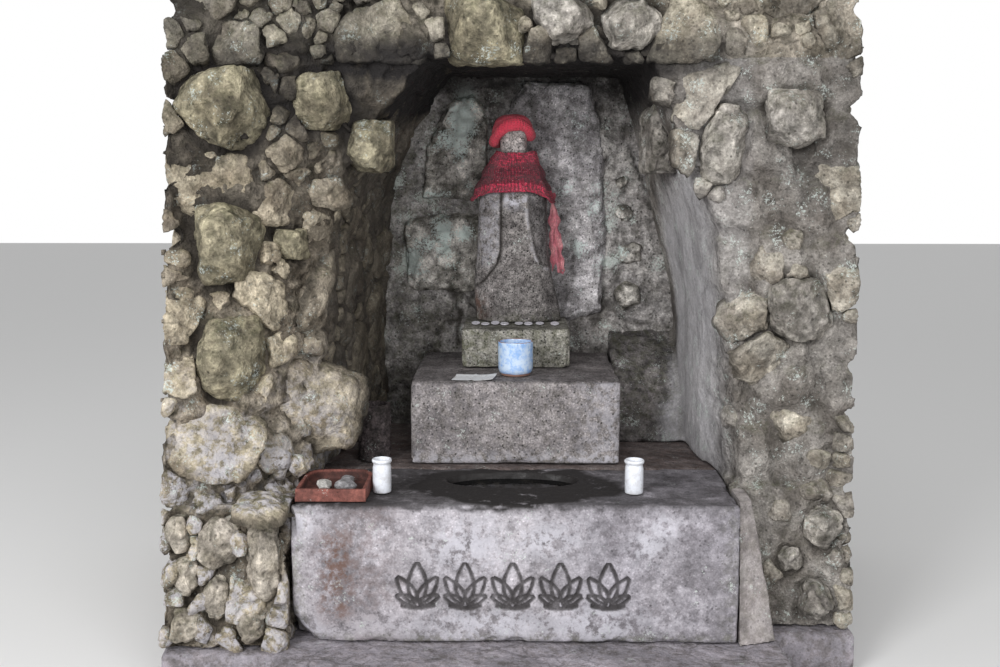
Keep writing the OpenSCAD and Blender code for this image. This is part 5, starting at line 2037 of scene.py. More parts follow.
@dataclass
class Figure:
    """The robed stone figure, without its knitted things.

    Attributes:
        voxel: Size of the remesh in metres.
        left_fold: X and Z of the groove down the left sleeve.
        right_fold: X and Z of the edge of the right sleeve.
    """

    voxel: float = 0.0029
    left_fold: tuple[tuple[float, float], ...] = (
        (-0.0367, 0.995), (-0.0367, 0.856), (-0.0468, 0.823), (-0.0792, 0.780), (-0.1042, 0.765),
    )
    right_fold: tuple[tuple[float, float], ...] = (
        (0.0245, 0.997), (0.0278, 0.930), (0.0354, 0.881), (0.0455, 0.843), (0.0607, 0.813), (0.0860, 0.808),
    )

    def finish(self, name: str, pale: Colour, deep: Colour) -> StoneFinish:
        """Returns the figure's carved andesite in given colours.

        Args:
            name: Name of the finish.
            pale: Its lighter colour.
            deep: Its darker colour.

        Returns:
            The finish.
        """
        return StoneFinish(
            name, pale, deep, blotch=0.035, grain=1.4, grain_size=0.0038, crag=0.30, crag_size=0.03,
            stain=0.15, tone=0.9, relief=0.003,
        )

    def body(self) -> Obj:
        """Builds the robe from the carved solid, softened and pitted."""
        obj = remeshed(from_nodes("robed_figure", ["statue_body"]), self.voxel)
        skin = Skin(obj)
        low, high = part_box("statue_body")
        x, _, z = skin.points.T
        front = ramp(-skin.normals[:, 1], 0.05, 0.4)
        skin.push(0.0012 * skin.noise(0.03, 111, 4) - 0.0006)
        left_gap, left_side = line_gap(skin.points, self.left_fold)
        right_gap, right_side = line_gap(skin.points, self.right_fold)
        # A groove down the left sleeve and the raised edge of the right sleeve, pushed into the shape; below,
        # the groove also takes painted shade and the edge a painted highlight.
        groove = np.exp(-((left_gap / 0.0045) ** 2)) * front
        ridge = np.exp(-((right_gap / 0.0040) ** 2)) * front
        skin.points[:, 1] += 0.0032 * groove - 0.0020 * ridge
        corner = np.exp(-(((x + 0.11) / 0.03) ** 2) - (((z - low[2] - 0.03) / 0.035) ** 2))
        skin.push(-0.007 * corner * (0.6 + 0.4 * skin.noise(0.02, 112, 3)))
        share = (z - low[2]) / (high[2] - low[2])
        sleeve = np.clip(ramp(right_side, 0.0, 0.006), 0, 1) * ramp(share, 0.28, 0.34) * front
        blot = skin.noise(0.05, 114, 3)
        # The right sleeve is toned darker as painted shade, and its edge lighter as a painted highlight.
        tone = 0.5 + 0.2 * skin.noise(0.06, 113, 3) - 0.30 * sleeve + 0.7 * ridge
        skin.paint("tone", np.clip(tone, 0, 1.2))
        # Painted shade over the right sleeve; the robe also darkens towards its foot, more at the right side
        # as painted shade.
        soak_and_shade = 0.42 * sleeve * (0.8 + 0.5 * blot) + 0.25 * ramp(-share, -0.16, -0.02)
        soak_and_shade += 0.22 * ramp(-share, -0.42, -0.25) * (0.5 + blot + 1.2 * ramp(x, 0.0, 0.09))
        skin.paint("damp_and_shade", np.clip(soak_and_shade, 0, 0.7))
        # Painted shade in the left groove and beside the right sleeve's edge.
        under_sleeve = np.exp(-(((right_gap - 0.008) / 0.004) ** 2)) * (right_side > 0) * front
        skin.paint("crevice", np.clip(0.75 * groove + 0.45 * under_sleeve, 0, 0.8))
        skin.paint("rust", np.clip(corner * 1.3, 0, 0.8))
        # A pale lichen patch, painted light on the left sleeve, and a painted highlight along the right
        # sleeve's edge.
        patch = np.exp(-(((x + 0.006) / 0.026) ** 2) - (((share - 0.735) / 0.045) ** 2))
        left_light = 0.35 * ramp(-left_side, 0.0, 0.01) * ramp(share, 0.3, 0.4)
        skin.paint("bloom_and_highlight", np.clip(np.maximum(patch * 1.2, left_light) * front + 0.5 * ridge, 0, 0.9))
        skin.paint("moss", ramp(-share, -0.10, 0.0) * 0.5)
        skin.store()
        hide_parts("statue_body")
        finish = self.finish("robe_stone", (0.222, 0.212, 0.215), (0.120, 0.112, 0.114))
        return dress(obj, finish.build(), 0.8)

    def head(self) -> Obj:
        """Builds the worn head stub."""
        obj = remeshed(from_nodes("worn_head", ["statue_head"]), 0.0030)
        skin = Skin(obj)
        skin.push(0.0012 * skin.noise(0.025, 121, 4))
        skin.paint("tone", 0.6 + 0.3 * skin.noise(0.03, 122, 3))
        skin.store()
        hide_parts("statue_head")
        finish = self.finish("head_stone", (0.40, 0.375, 0.385), (0.26, 0.24, 0.245))
        return dress(obj, finish.build())

    def build(self) -> list[Obj]:
        """Builds the body and the head."""
        return [self.body(), self.head()]


@dataclass(frozen=True)
class KnitFinish:
    """Knitted wool, with stitches read from the piece's own rows.

    Attributes:
        name: Name of the material.
        bright: Colour of the clean wool.
        faded: Colour of the weathered wool.
        band: Colour of the band across the middle.
        band_low: Where the band starts, as a share of the length.
        band_high: Where the band ends.
        depth: Strength of the painted shade between the stitches, the painted highlight on the loops and the
            dark flecks.
    """

    name: str
    bright: Colour
    faded: Colour
    band: Colour
    band_low: float
    band_high: float
    depth: float = 1.0

    def build(self) -> Material:
        """Returns the wool as a material."""
        made, graph, shader = material(self.name)
        place = graph.place()
        column, row, share = graph.mask("column"), graph.mask("row"), graph.mask("share")
        side = graph.math("ABSOLUTE", graph.minus(graph.math("FRACT", column), 0.5))
        slanted = graph.math("FRACT", graph.plus(row, side))
        bow = graph.math("ABSOLUTE", graph.minus(slanted, 0.5))
        rib = graph.between(side, 0.50, 0.16)
        loop = graph.between(bow, 0.50, 0.14)
        strand = graph.noise(place, 0.0016, 3.0, 0.7)
        height = graph.plus(graph.times(rib, 0.8), graph.times(loop, 0.7))
        height = graph.plus(height, graph.times(strand, 0.4))
        worn = graph.between(graph.noise(place, 0.03, 5.0), 0.40, 0.62)
        wool = graph.mix(worn, self.bright, self.faded)
        stray = graph.times(graph.minus(graph.noise(place, 0.045, 5.0), 0.5), 0.45)
        level = graph.plus(share, stray)
        inside = graph.times(graph.between(level, self.band_low - 0.10, self.band_low + 0.08),
            graph.between(share, self.band_high + 0.015, self.band_high - 0.015),
        )
        wool = graph.mix(inside, wool, self.band)
        # Painted shade in the gaps between the stitches and painted highlight on the loops.
        gap = graph.times(rib, loop)
        wool = graph.mix(
            self.depth, wool,
            graph.mix(1.0, wool, graph.mix(gap, (0.50, 0.44, 0.46), (1.25, 1.2, 1.2)), "MULTIPLY"),
        )
        dark = graph.between(graph.noise(place, 0.0065, 5.0, 0.8), 0.545, 0.455)
        wool = graph.mix(graph.times(dark, 0.80 * self.depth), wool, (0.045, 0.007, 0.014))
        fleck = graph.between(graph.noise(place, 0.0042, 4.0, 0.75), 0.58, 0.70)
        wool = graph.mix(graph.times(fleck, 0.65), wool, (0.82, 0.36, 0.42))
        graph.feed(shader.inputs["Base Color"], wool)
        shader.inputs["Roughness"].default_value = 0.95
        shader.inputs["Sheen Weight"].default_value = 0.15
        graph.bump(shader, height, 0.0022)
        return made


def cloth_grid(name: str, points: Array, closed: bool, stitches: float, rows: float) -> Obj:
    """Makes a grid of cloth with its stitch counts painted on.

    Args:
        name: Name of the object.
        points: Places, shape (rows, columns, 3).
        closed: Whether the last column joins the first.
        stitches: How many stitches lie across the cloth.
        rows: How many rows of them lie down it.

    Returns:
        The object.
    """
    down, across, _ = points.shape
    obj = new_object(name, points.reshape(-1, 3), grid_faces(down, across, closed))
    skin = Skin(obj)
    share = np.repeat(np.linspace(0, 1, down), across)
    skin.paint("column", np.tile(np.arange(across) * stitches / across, down))
    skin.paint("row", share * rows)
    skin.paint("share", share)
    skin.store()
    return obj


def thicken(obj: Obj, thickness: float) -> Obj:
    """Gives a sheet its thickness, half to each side.

    Args:
        obj: The sheet.
        thickness: Its thickness in metres.

    Returns:
        The same object.
    """
    solid = obj.modifiers.new("thickness", "SOLIDIFY")
    solid.thickness = thickness
    solid.offset = 0.0
    return apply_modifiers(obj)


@dataclass
class Knits:
    """The knitted cap and bib and the torn strip at the bib's end.

    Attributes:
        stitch: Width of a stitch in metres.
        row_height: Height of a row of stitches.
        wool: Thickness of the knit.
    """

    stitch: float = 0.0062
    row_height: float = 0.0050
    wool: float = 0.0034

    def __post_init__(self) -> None:
        """Reads where the figure stands."""
        self.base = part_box("statue_body")[0][2]
        head_low, head_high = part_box("statue_head")
        self.head_x = (head_low[0] + head_high[0]) / 2
        self.y = (head_low[1] + head_high[1]) / 2
        self.crown = head_high[2]

    def bib(self) -> Obj:
        """Builds the bib: a flared cape with a ribbed hem."""
        rows, columns = 50, 228
        stitches = round(0.56 / self.stitch)
        v = np.linspace(0, 1, rows)[:, None]
        turn = np.linspace(0, TAU, columns, endpoint=False)[None, :]
        c, s = np.cos(turn), np.sin(turn)
        left = np.interp(v, [0, 0.14, 0.36, 0.6, 0.8, 1], [0.039, 0.057, 0.073, 0.087, 0.097, 0.105])
        right = np.interp(v, [0, 0.3, 0.56, 0.82, 1], [0.054, 0.071, 0.082, 0.094, 0.100])
        half = np.where(c < 0, left, right) * np.ones_like(turn)
        deep = np.interp(v, [0, 0.2, 0.45, 0.75, 1], [0.040, 0.051, 0.059, 0.065, 0.073])
        ex = np.sign(c) * np.abs(c) ** 0.86
        ey = np.sign(s) * np.abs(s) ** 0.86
        hem = (
            0.3275 - 0.024 * np.abs(c) ** 2.2 - 0.006 * np.clip(c, 0, 1) ** 2
            + 0.0022 * np.sin(5 * turn + 0.6)
        )
        top = 0.4245 + 0.0025 * np.cos(2 * turn) + 0.0015 * np.sin(7 * turn)
        z = self.base + top + (hem - top) * v**0.95
        ribbed = 0.5 * ramp(v, 0.70, 0.80) * np.cos(turn * stitches / 2)
        swell = 0.0022 * np.sin(TAU * 3.2 * v) * ramp(v, 0.0, 0.2) + 0.0030 * np.exp(-((v / 0.06) ** 2))
        ripple = (
            0.0030 * v**1.5 * np.sin(9 * turn + 1.1) + 0.0018 * v * np.sin(17 * turn) + 0.0011 * ribbed
            + swell
        )
        x = self.head_x + (half + ripple) * ex
        y = self.y + (deep + ripple) * ey
        points = np.stack([x, y, z + 0 * c], axis=2)
        flat = points.reshape(-1, 3)
        flat += 0.0020 * np.stack([Noise.fractal(flat, 0.028, seed, 3) for seed in (131, 132, 133)], axis=1)
        obj = cloth_grid("bib_knit", points, True, stitches, 0.125 / self.row_height)
        thicken(obj, self.wool)
        finish = KnitFinish(
            "bib_wool", (0.90, 0.055, 0.135), (0.70, 0.055, 0.125), (0.31, 0.020, 0.050), 0.30, 0.76
        )
        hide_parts("knitted_bib")
        dress(obj, finish.build())
        return obj

    def cap(self) -> Obj:
        """Builds the cap: a soft dome with a thick rolled brim."""
        columns = 170
        stitches = round(0.29 / self.stitch)
        turn = np.linspace(0, TAU, columns, endpoint=False)[None, :]
        c, s = np.cos(turn), np.sin(turn)
        front = np.clip(-s, 0, 1)
        level = self.crown - 0.047 + 0.034 * front**1.3 + 0.009 * c
        w = np.linspace(0.03, 1, 34)[:, None] * math.pi / 2
        top = self.crown + 0.0118
        dome_r = (0.0450 + 0.0050 * c * c) * np.sin(w) ** 0.76
        dome_z = level + 0.0125 + (top - level - 0.0125) * np.cos(w) ** 0.80
        phi = np.linspace(1.40, -2.75, 30)[:, None]
        thick = 0.0122 + 0.0022 * front + 0.0008 * np.sin(3 * turn + 1) + 0.0006 * np.sin(8 * turn)
        roll_r = 0.0450 + thick * np.cos(phi)
        roll_z = level + thick * np.sin(phi)
        ribs = 0.0004 * np.cos(turn * stitches)
        radius = np.concatenate([dome_r, roll_r + ribs * np.cos(phi)])
        height = np.concatenate([dome_z, roll_z + ribs * np.sin(phi)])
        points = np.stack([self.head_x - 0.0035 + radius * c, self.y + radius * 0.94 * s, height], axis=2)
        flat = points.reshape(-1, 3)
        flat += 0.0022 * np.stack([Noise.fractal(flat, 0.026, seed, 3) for seed in (141, 142, 143)], axis=1)
        obj = cloth_grid("cap_knit", points, True, stitches, 0.118 / self.row_height)
        build = bmesh.new()
        build.from_mesh(obj.data)
        rim = [e for e in build.edges if e.is_boundary and e.verts[0].co.z > self.crown]
        bmesh.ops.holes_fill(build, edges=rim)
        build.to_mesh(obj.data)
        build.free()
        thicken(obj, self.wool * 0.8)
        finish = KnitFinish(
            "cap_wool", (1.0, 0.11, 0.17), (1.0, 0.10, 0.16), (0.98, 0.07, 0.13), 0.50, 1.2, 0.18
        )
        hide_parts("knitted_cap")
        dress(obj, finish.build())
        return obj

    def tail(self) -> Obj:
        """Builds the faded strip of cloth, twisted and torn at its end."""
        low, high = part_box("bib_tail")
        rows, columns = 110, 22
        v = np.linspace(0, 1, rows)[:, None]
        u = np.linspace(-1, 1, columns)[None, :]
        jag = 0.0022 * np.sin(23 * v + 1) + 0.0018 * np.sin(41 * v)
        half = np.interp(v, [0, 0.12, 0.3, 0.5, 0.8, 1], [0.0045, 0.0075, 0.0115, 0.0150, 0.0165, 0.0150])
        half += jag
        start = low[0] + 0.006
        middle = start + np.interp(v, [0, 0.2, 0.5, 0.75, 1], [0, 0.0045, 0.0085, 0.0135, 0.0190])
        twist = 0.30 * np.sin(6.5 * v + 0.4)
        x = middle + half * u * np.cos(twist) + 0.0016 * np.sin(19 * v + 2 * u)
        z = high[2] + 0.004 - (high[2] - low[2] + 0.002) * v - 0.007 * np.abs(u) * v
        pleat = 0.0042 * (0.35 + v) * np.sin(5.4 * u + 1.8 * np.sin(5 * v)) + 0.0022 * np.sin(24 * v + 2 * u)
        y = (low[1] + high[1]) / 2 + pleat + 0.5 * half * u * np.sin(twist)
        points = np.stack([x, y, z + 0 * u], axis=2)
        obj = cloth_grid("bib_tail_cloth", points, False, 8, 60)
        middles = face_centres(obj)
        ragged = low[2] + 0.012 + 0.018 * Noise.smooth(middles * (1, 0, 0) + 0.3, 0.006, 151)
        holes = Noise.smooth(middles, 0.011, 152) > 0.78
        keep_faces(obj, (middles[:, 2] > ragged) & ~(holes & (middles[:, 2] < low[2] + 0.15)))
        thicken(obj, 0.0009)
        finish = KnitFinish(
            "strip_cloth", (0.66, 0.18, 0.23), (0.84, 0.36, 0.38), (0.52, 0.08, 0.12), -0.4, 0.12, 0.4
        )
        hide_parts("bib_tail")
        dress(obj, finish.build())
        return obj

    def build(self) -> list[Obj]:
        """Builds the cap, the bib and the strip."""
        return [self.bib(), self.cap(), self.tail()]


def lathe(name: str, axis: Point, profile: list[tuple[float, float]], sides: int = 96) -> Obj:
    """Turns a profile about an upright axis.

    Args:
        name: Name of the object.
        axis: Foot of the axis.
        profile: Radius and height of each point, from the underside's middle
            round to the inside's middle.
        sides: How many sides the turning has.

    Returns:
        The object.
    """
    points: list[Point] = []
    for r, z in profile:
        for k in range(sides):
            t = TAU * k / sides
            points.append((axis[0] + r * math.cos(t), axis[1] + r * math.sin(t), axis[2] + z))
    obj = new_object(name, points, grid_faces(len(profile), sides, True))
    build = bmesh.new()
    build.from_mesh(obj.data)
    bmesh.ops.remove_doubles(build, verts=build.verts, dist=2e-5)
    bmesh.ops.recalc_face_normals(build, faces=build.faces)
    build.to_mesh(obj.data)
    build.free()
    Skin(obj).store()
    return obj


def foot_of(node: str) -> Point:
    """Returns the middle of the underside of a node's box."""
    low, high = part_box(node)
    return ((low[0] + high[0]) / 2, (low[1] + high[1]) / 2, low[2])


def rounded(profile: list[tuple[float, float]], steps: int = 2) -> list[tuple[float, float]]:
    """Cuts the corners of a profile, as a turned edge is rounded.

    Args:
        profile: Radius and height of each point.
        steps: How many times the corners are cut.

    Returns:
        The rounded profile, with the same ends.
    """
    for _ in range(steps):
        cut = [profile[0]]
        for (r0, z0), (r1, z1) in zip(profile, profile[1:]):
            cut.append((0.75 * r0 + 0.25 * r1, 0.75 * z0 + 0.25 * z1))
            cut.append((0.25 * r0 + 0.75 * r1, 0.25 * z0 + 0.75 * z1))
        cut.append(profile[-1])
        profile = cut
    return profile


class Glaze(Enum):
    """Glazes of the turned offerings: body colour and mottle colour."""

    BLUE_CUP = ((0.56, 0.68, 0.84), (0.26, 0.44, 0.78))
    WHITE = ((0.84, 0.87, 0.94), (0.68, 0.69, 0.73))


@dataclass
class Offerings:
    """Cup, vases, tray, pebbles, coins, paper and the flower stone."""

    def glaze(self, name: str, look: Glaze, rim_colour: Colour, foot: float, rim: float) -> Material:
        """Builds a mottled glaze with bare clay at foot and rim.

        Args:
            name: Name of the material.
            look: Its colours.
            rim_colour: Colour of the bare clay.
            foot: Height of the bare foot in the frame.
            rim: Height where the rim line starts.

        Returns:
            The material.
        """
        made, graph, shader = material(name)
        place = graph.place()
        height = graph.node("ShaderNodeSeparateXYZ", {0: place}).outputs[2]
        cloud = graph.between(graph.noise(place, 0.016, 5.0, 0.65), 0.40, 0.64)
        colour = graph.mix(cloud, look.value[0], look.value[1])
        wave = graph.times(graph.minus(graph.noise(place, 0.02), 0.5), 0.004)
        level = graph.plus(height, wave)
        bare = graph.peak(
            graph.between(level, foot + 0.001, foot - 0.001),
            graph.between(level, rim - 0.0006, rim + 0.0006),
        )
        colour = graph.mix(bare, colour, rim_colour)
        darkening = graph.between(graph.noise(place, 0.01, 6.0, 0.7), 0.56, 0.75)
        colour = graph.mix(graph.times(darkening, 0.35), colour, (0.20, 0.17, 0.14))
        graph.feed(shader.inputs["Base Color"], colour)
        graph.feed(shader.inputs["Roughness"], graph.plus(0.16, graph.times(bare, 0.6)))
        graph.bump(shader, graph.noise(place, 0.012, 4.0), 0.0006)
        shader.inputs["Coat Weight"].default_value = 0.3
        return made

    def cup(self) -> Obj:
        """Builds the straight tea cup."""
        low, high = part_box("tea_cup")
        r = (high[0] - low[0]) / 2
        tall = high[2] - low[2]
        profile = rounded([
            (0.0005, 0.002), (r - 0.014, 0.002), (r - 0.0135, 0.0), (r - 0.0075, 0.0), (r - 0.0065, 0.004),
            (r - 0.001, 0.011), (r - 0.0004, 0.03), (r, tall - 0.003), (r - 0.001, tall), (r - 0.004, tall),
            (r - 0.005, tall - 0.003), (r - 0.0055, 0.02), (r - 0.009, 0.011), (0.0005, 0.009),
        ])
        obj = lathe("tea_cup_glazed", foot_of("tea_cup"), profile, 128)
        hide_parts("tea_cup")
        finish = self.glaze("cup_glaze", Glaze.BLUE_CUP, (0.30, 0.17, 0.13), low[2] + 0.006, high[2] - 0.0009)
        return dress(obj, finish)

    def vase(self, node: str) -> Obj:
        """Builds one white vase with a rolled lip.

        Args:
            node: vase_left or vase_right.

        Returns:
            The vase.
        """
        low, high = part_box(node)
        r = (high[0] - low[0]) / 2
        tall = high[2] - low[2]
        profile = rounded([
            (0.0005, 0.0), (r - 0.003, 0.0), (r - 0.0015, 0.003), (r - 0.0012, tall - 0.020),
            (r - 0.0032, tall - 0.012),
            (r - 0.0030, tall - 0.009), (r, tall - 0.006), (r, tall - 0.002), (r - 0.0015, tall),
            (r - 0.004, tall),
            (r - 0.0068, tall - 0.008), (r - 0.0055, tall - 0.018), (r - 0.006, 0.01), (0.0005, 0.008),
        ])
        obj = lathe(node + "_glazed", foot_of(node), profile)
        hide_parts(node)
        finish = self.glaze(node + "_glaze", Glaze.WHITE, (0.55, 0.52, 0.48), low[2] + 0.0015, high[2] + 0.01)
        return dress(obj, finish)

    def tray(self) -> Obj:
        """Builds the terracotta tray with its soiled inside."""
        obj = remeshed(from_nodes("tray_clay", ["terracotta_tray"]), 0.0024)
        skin = Skin(obj)
        low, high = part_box("terracotta_tray")
        x, y, z = skin.points.T
        skin.push(0.0010 * skin.noise(0.03, 161, 3) - 0.0008)
        inside = (z < high[2] - 0.006) & (x > low[0] + 0.007) & (x < high[0] - 0.007)
        inside &= (y > low[1] + 0.007) & (y < high[1] - 0.007)
        skin.paint("damp_and_shade", inside * (0.72 + 0.2 * skin.noise(0.03, 162, 3)))
        skin.paint("tone", 0.5 + 0.3 * skin.noise(0.04, 163, 3))
        skin.store()
        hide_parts("terracotta_tray")
        finish = StoneFinish(
            "fired_clay", (0.25, 0.095, 0.078), (0.14, 0.055, 0.047), blotch=0.03, grain=0.35,
            grain_size=0.003,
            stain=0.35, moss=0.2, relief=0.0008, rough=0.8,
        )
        return dress(obj, finish.build(), 0.6)

    def pebbles(self) -> Obj:
        """Builds the pebbles that lie in the tray."""
        obj = remeshed(from_nodes("pebbles_worn", ["tray_pebbles"]), 0.0016)
        skin = Skin(obj)
        skin.push(0.0008 * skin.noise(0.012, 171, 3) - 0.0004)
        skin.paint("tone", (skin.points[:, 0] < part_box("tray_pebbles")[0][0] + 0.04) * 0.9)
        skin.store()
        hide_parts("tray_pebbles")
        finish = StoneFinish(
            "pebble_stone", (0.40, 0.40, 0.41), (0.24, 0.24, 0.245), blotch=0.012, grain=0.6,
            grain_size=0.0022,
            stain=0.05, tone=0.9, relief=0.0005, rough=0.7,
        )
        return dress(obj, finish.build())

    def coins(self) -> Obj:
        """Builds the coins with raised rims and a plain beaded ring."""
        low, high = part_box("coins")
        build = solids(["coins"])
        groups = islands(build)
        centres = [sum((v.co for v in g), Vector()) / len(g) for g in groups]
        widths = [max(v.co.x for v in g) - min(v.co.x for v in g) for g in groups]
        build.free()
        thick = high[2] - low[2]
        join = bmesh.new()
        for k, (centre, width) in enumerate(zip(centres, widths)):
            r = width / 2
            lean = Matrix.Rotation(math.radians((13, 9, 15, 11, 8)[k % 5]), 4, "X")
            foot = Matrix.Translation((centre.x, centre.y - r, low[2]))
            profile = [
                (0.0002, 0.0), (r - 0.0006, 0.0), (r, 0.0003), (r, thick - 0.0003), (r - 0.0003, thick),
                (r - 0.0013, thick), (r - 0.0017, thick - 0.0003), (r * 0.62, thick - 0.0003),
                (r * 0.58, thick - 0.00012),
                (r * 0.54, thick - 0.0003), (0.0002, thick - 0.0003),
            ]
            one = lathe("coin", (centre.x, centre.y, low[2]), profile, 48)
            one.data.transform(foot @ lean @ foot.inverted())
            join.from_mesh(one.data)
            bpy.data.objects.remove(one)
        mesh = bpy.data.meshes.new("coins_worn")
        join.to_mesh(mesh)
        join.free()
        obj = bpy.data.objects.new("coins_worn", mesh)
        bpy.context.scene.collection.objects.link(obj)
        made, graph, shader = material("worn_coin_metal")
        place = graph.place()
        dull = graph.between(graph.noise(place, 0.008, 4.0), 0.35, 0.65)
        graph.feed(shader.inputs["Base Color"], graph.mix(dull, (0.78, 0.77, 0.84), (0.50, 0.48, 0.53)))
        graph.feed(shader.inputs["Metallic"], graph.minus(0.45, graph.times(dull, 0.35)))
        graph.feed(shader.inputs["Roughness"], graph.plus(0.32, graph.times(dull, 0.3)))
        graph.bump(shader, graph.noise(place, 0.0015, 3.0), 0.0002)
        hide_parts("coins")
        return dress(obj, made)

    def paper(self) -> Obj:
        """Builds the slip of paper, folded once and a little curled."""
        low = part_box("offering_paper")[0]
        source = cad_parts["offering_paper"]
        corners = [source.matrix_world @ v.co for v in source.data.vertices]
        base = [c for c in corners if c.z < low[2] + 0.0002]
        start = min(base, key=lambda c: c.x)
        ends = sorted({(round(c.x, 5), round(c.y, 5)) for c in base}, key=lambda c: math.dist(c, start[:2]))
        a = Vector((*ends[0], low[2]))
        short = Vector((*ends[1], low[2])) - a
        long = Vector((*ends[2], low[2])) - a
        rows, columns = 16, 26
        points = np.zeros((rows, columns, 3))
        for j in range(rows):
            for i in range(columns):
                u, w = i / (columns - 1), j / (rows - 1)
                curl = 0.0045 * max(0.0, (u - 0.55) / 0.45) ** 2 + 0.0030 * max(0.0, (w - 0.6) / 0.4) ** 2
                fold = 0.0016 * math.exp(-(((u - 0.48) / 0.03) ** 2))
                points[j, i] = a + long * u + short * w + Vector((0, 0, 0.0004 + curl + fold))
        obj = cloth_grid("paper_slip", points, False, 1, 1)
        thicken(obj, 0.00035)
        made, graph, shader = material("damp_paper")
        place = graph.place()
        spots = graph.between(graph.noise(place, 0.012, 5.0, 0.7), 0.50, 0.72)
        graph.feed(shader.inputs["Base Color"], graph.mix(spots, (0.66, 0.67, 0.69), (0.38, 0.35, 0.31)))
        shader.inputs["Roughness"].default_value = 0.85
        graph.bump(shader, graph.noise(place, 0.004, 4.0), 0.0004)
        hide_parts("offering_paper")
        return dress(obj, made)

    def flower_stone(self) -> Obj:
        """Builds the dark hollowed stone that holds flowers."""
        obj = remeshed(from_nodes("flower_stone", ["flower_vase"]), 0.003)
        skin = Skin(obj)
        edge, tone, _ = Noise.cells(skin.points, 0.011, 181)
        rise = 0.0035 * skin.noise(0.03, 182, 4) + 0.002 * ramp(edge, 0.0, 0.003) - 0.0045
        skin.push(rise)
        skin.points[:, 2] = np.maximum(skin.points[:, 2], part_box("flower_vase")[0][2] + 0.0005)
        skin.paint("tone", tone)
        skin.paint("damp_and_shade", 0.35 + 0.25 * skin.noise(0.03, 183, 3))
        skin.store()
        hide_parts("flower_vase")
        finish = StoneFinish(
            "dark_stone", (0.115, 0.095, 0.10), (0.045, 0.038, 0.038), blotch=0.02, grain=0.8,
            grain_size=0.005,
            moss=0.5, relief=0.002,
        )
        return dress(obj, finish.build())

    def build(self) -> list[Obj]:
        """Builds all the offerings."""
        return [
            self.cup(), self.vase("vase_left"), self.vase("vase_right"), self.tray(), self.pebbles(),
            self.coins(), self.paper(), self.flower_stone(),
        ]


@dataclass
class Fillet:
    """The rendered wedge at the right end of the altar."""

    def build(self) -> list[Obj]:
        """Builds the wedge with its crumbled edge."""
        obj = remeshed(from_nodes("fillet_render", ["right_fillet"]), 0.005)
        skin = Skin(obj)
        skin.push(0.004 * skin.noise(0.05, 191, 4) - 0.002)
        skin.paint("tone", 0.5 + 0.3 * skin.noise(0.1, 192, 3))
        skin.paint("moss", np.full(len(skin.points), 0.2))
        skin.store()
        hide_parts("right_fillet")
        finish = StoneFinish("fillet_stone", (0.36, 0.335, 0.34), (0.22, 0.20, 0.20), grain=0.4, relief=0.002)
        return [dress(obj, finish.build())]


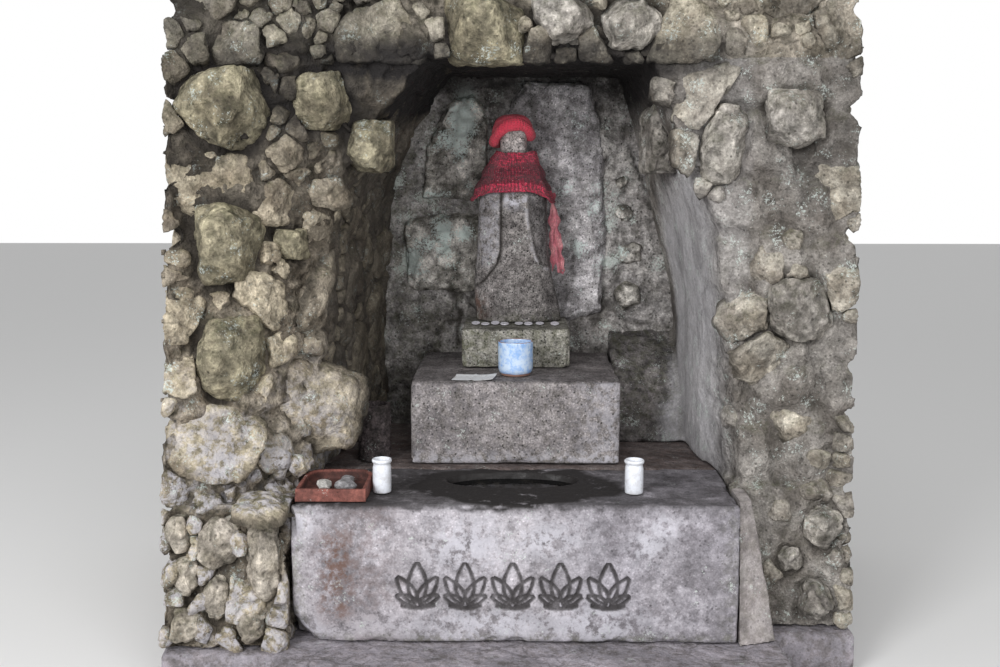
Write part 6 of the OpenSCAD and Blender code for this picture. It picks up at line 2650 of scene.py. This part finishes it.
@dataclass
class Studio:
    """Camera at the photograph's angle, pale floor and soft lamps.

    Attributes:
        eye: Where the camera stands.
        pitch_down: How far it looks down, in degrees.
        turn_left: How far it is turned to the left, in degrees.
        sensor: Width of its sensor in millimetres.
        focal_px: Focal length in pixels of the photograph.
        frame_px: Width of the photograph in pixels.
        sky: Strength of the white world's light.
        lamps: Name, place, aim, width and power in watts of each lamp.
    """

    eye: Point = (0.005, -2.710, 1.062)
    pitch_down: float = 8.0
    turn_left: float = 0.87
    sensor: float = 36.0
    focal_px: float = 1180.0
    frame_px: float = 1000.0
    sky: float = 0.5
    lamps: tuple[tuple[str, Point, Point, float, float], ...] = (
        ("key", (-2.1, -3.7, 2.15), (0.1, 0.0, 0.8), 1.5, 122.0),
        ("fill", (1.6, -4.2, 1.6), (0.0, 0.2, 0.8), 2.4, 45.0),
        ("top", (0.2, -1.9, 3.6), (0.0, 0.0, 0.8), 1.4, 22.0),
    )

    def camera(self) -> None:
        """Sets the camera."""
        data = bpy.data.cameras.new("view")
        data.sensor_width = self.sensor
        data.lens = self.sensor * self.focal_px / self.frame_px
        data.clip_start = 0.05
        data.clip_end = 60.0
        obj = bpy.data.objects.new("view", data)
        obj.location = self.eye
        obj.rotation_euler = (math.radians(90 - self.pitch_down), 0.0, math.radians(self.turn_left))
        bpy.context.scene.collection.objects.link(obj)
        bpy.context.scene.camera = obj

    def floor(self) -> None:
        """Lays the pale floor under the shrine."""
        reach = 14.0
        corners = [(-reach, -reach, 0), (reach, -reach, 0), (reach, reach, 0), (-reach, reach, 0)]
        obj = new_object("floor", corners, [(0, 1, 2, 3)])
        made, _, shader = material("floor_pale")
        shader.inputs["Base Color"].default_value = (0.82, 0.82, 0.82, 1.0)
        shader.inputs["Roughness"].default_value = 0.9
        obj.data.materials.append(made)
        obj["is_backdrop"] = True

    def lamp(self, name: str, place: Point, aim: Point, size: float, power: float) -> None:
        """Hangs a soft square lamp.

        Args:
            name: Name of the lamp.
            place: Where it hangs.
            aim: What it points at.
            size: Width of the lamp.
            power: Its power in watts.
        """
        data = bpy.data.lights.new(name, "AREA")
        data.size = size
        data.energy = power
        obj = bpy.data.objects.new(name, data)
        obj.location = place
        obj.rotation_euler = (Vector(aim) - Vector(place)).to_track_quat("-Z", "Y").to_euler()
        bpy.context.scene.collection.objects.link(obj)

    def world(self) -> None:
        """Sets the plain white world."""
        world = bpy.data.worlds.new("plain")
        world.use_nodes = True
        bpy.context.scene.world = world
        graph = Graph(world.node_tree)
        back = next(n for n in world.node_tree.nodes if n.type == "BACKGROUND")
        rays = graph.node("ShaderNodeLightPath")
        seen = graph.peak(rays.outputs["Is Camera Ray"], rays.outputs["Is Glossy Ray"])
        seen = graph.peak(seen, rays.outputs["Is Transmission Ray"])
        back.inputs["Color"].default_value = (1.0, 1.0, 1.0, 1.0)
        level = graph.plus(self.sky, graph.times(seen, 1 - self.sky))
        graph.feed(back.inputs["Strength"], level)

    def build(self) -> None:
        """Sets camera, floor, lamps and world."""
        self.camera()
        self.floor()
        self.world()
        for lamp in self.lamps:
            self.lamp(*lamp)
        bpy.context.scene.view_settings.view_transform = "Standard"


def main() -> None:
    """Builds the shrine piece by piece and sets the studio."""
    logging.basicConfig(level=logging.INFO, format="%(message)s")
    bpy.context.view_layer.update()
    Studio().build()
    pieces: list[Obj] = []
    for builder in (Masonry(), BeddedStones(), Steps(), Figure(), Knits(), Offerings(), Fillet()):
        pieces += builder.build()
    triangles = sum(sum(len(f.vertices) - 2 for f in p.data.polygons) for p in pieces)
    LOG.info("%d pieces, %d triangles", len(pieces), triangles)


if __name__ == "__main__":
    main()
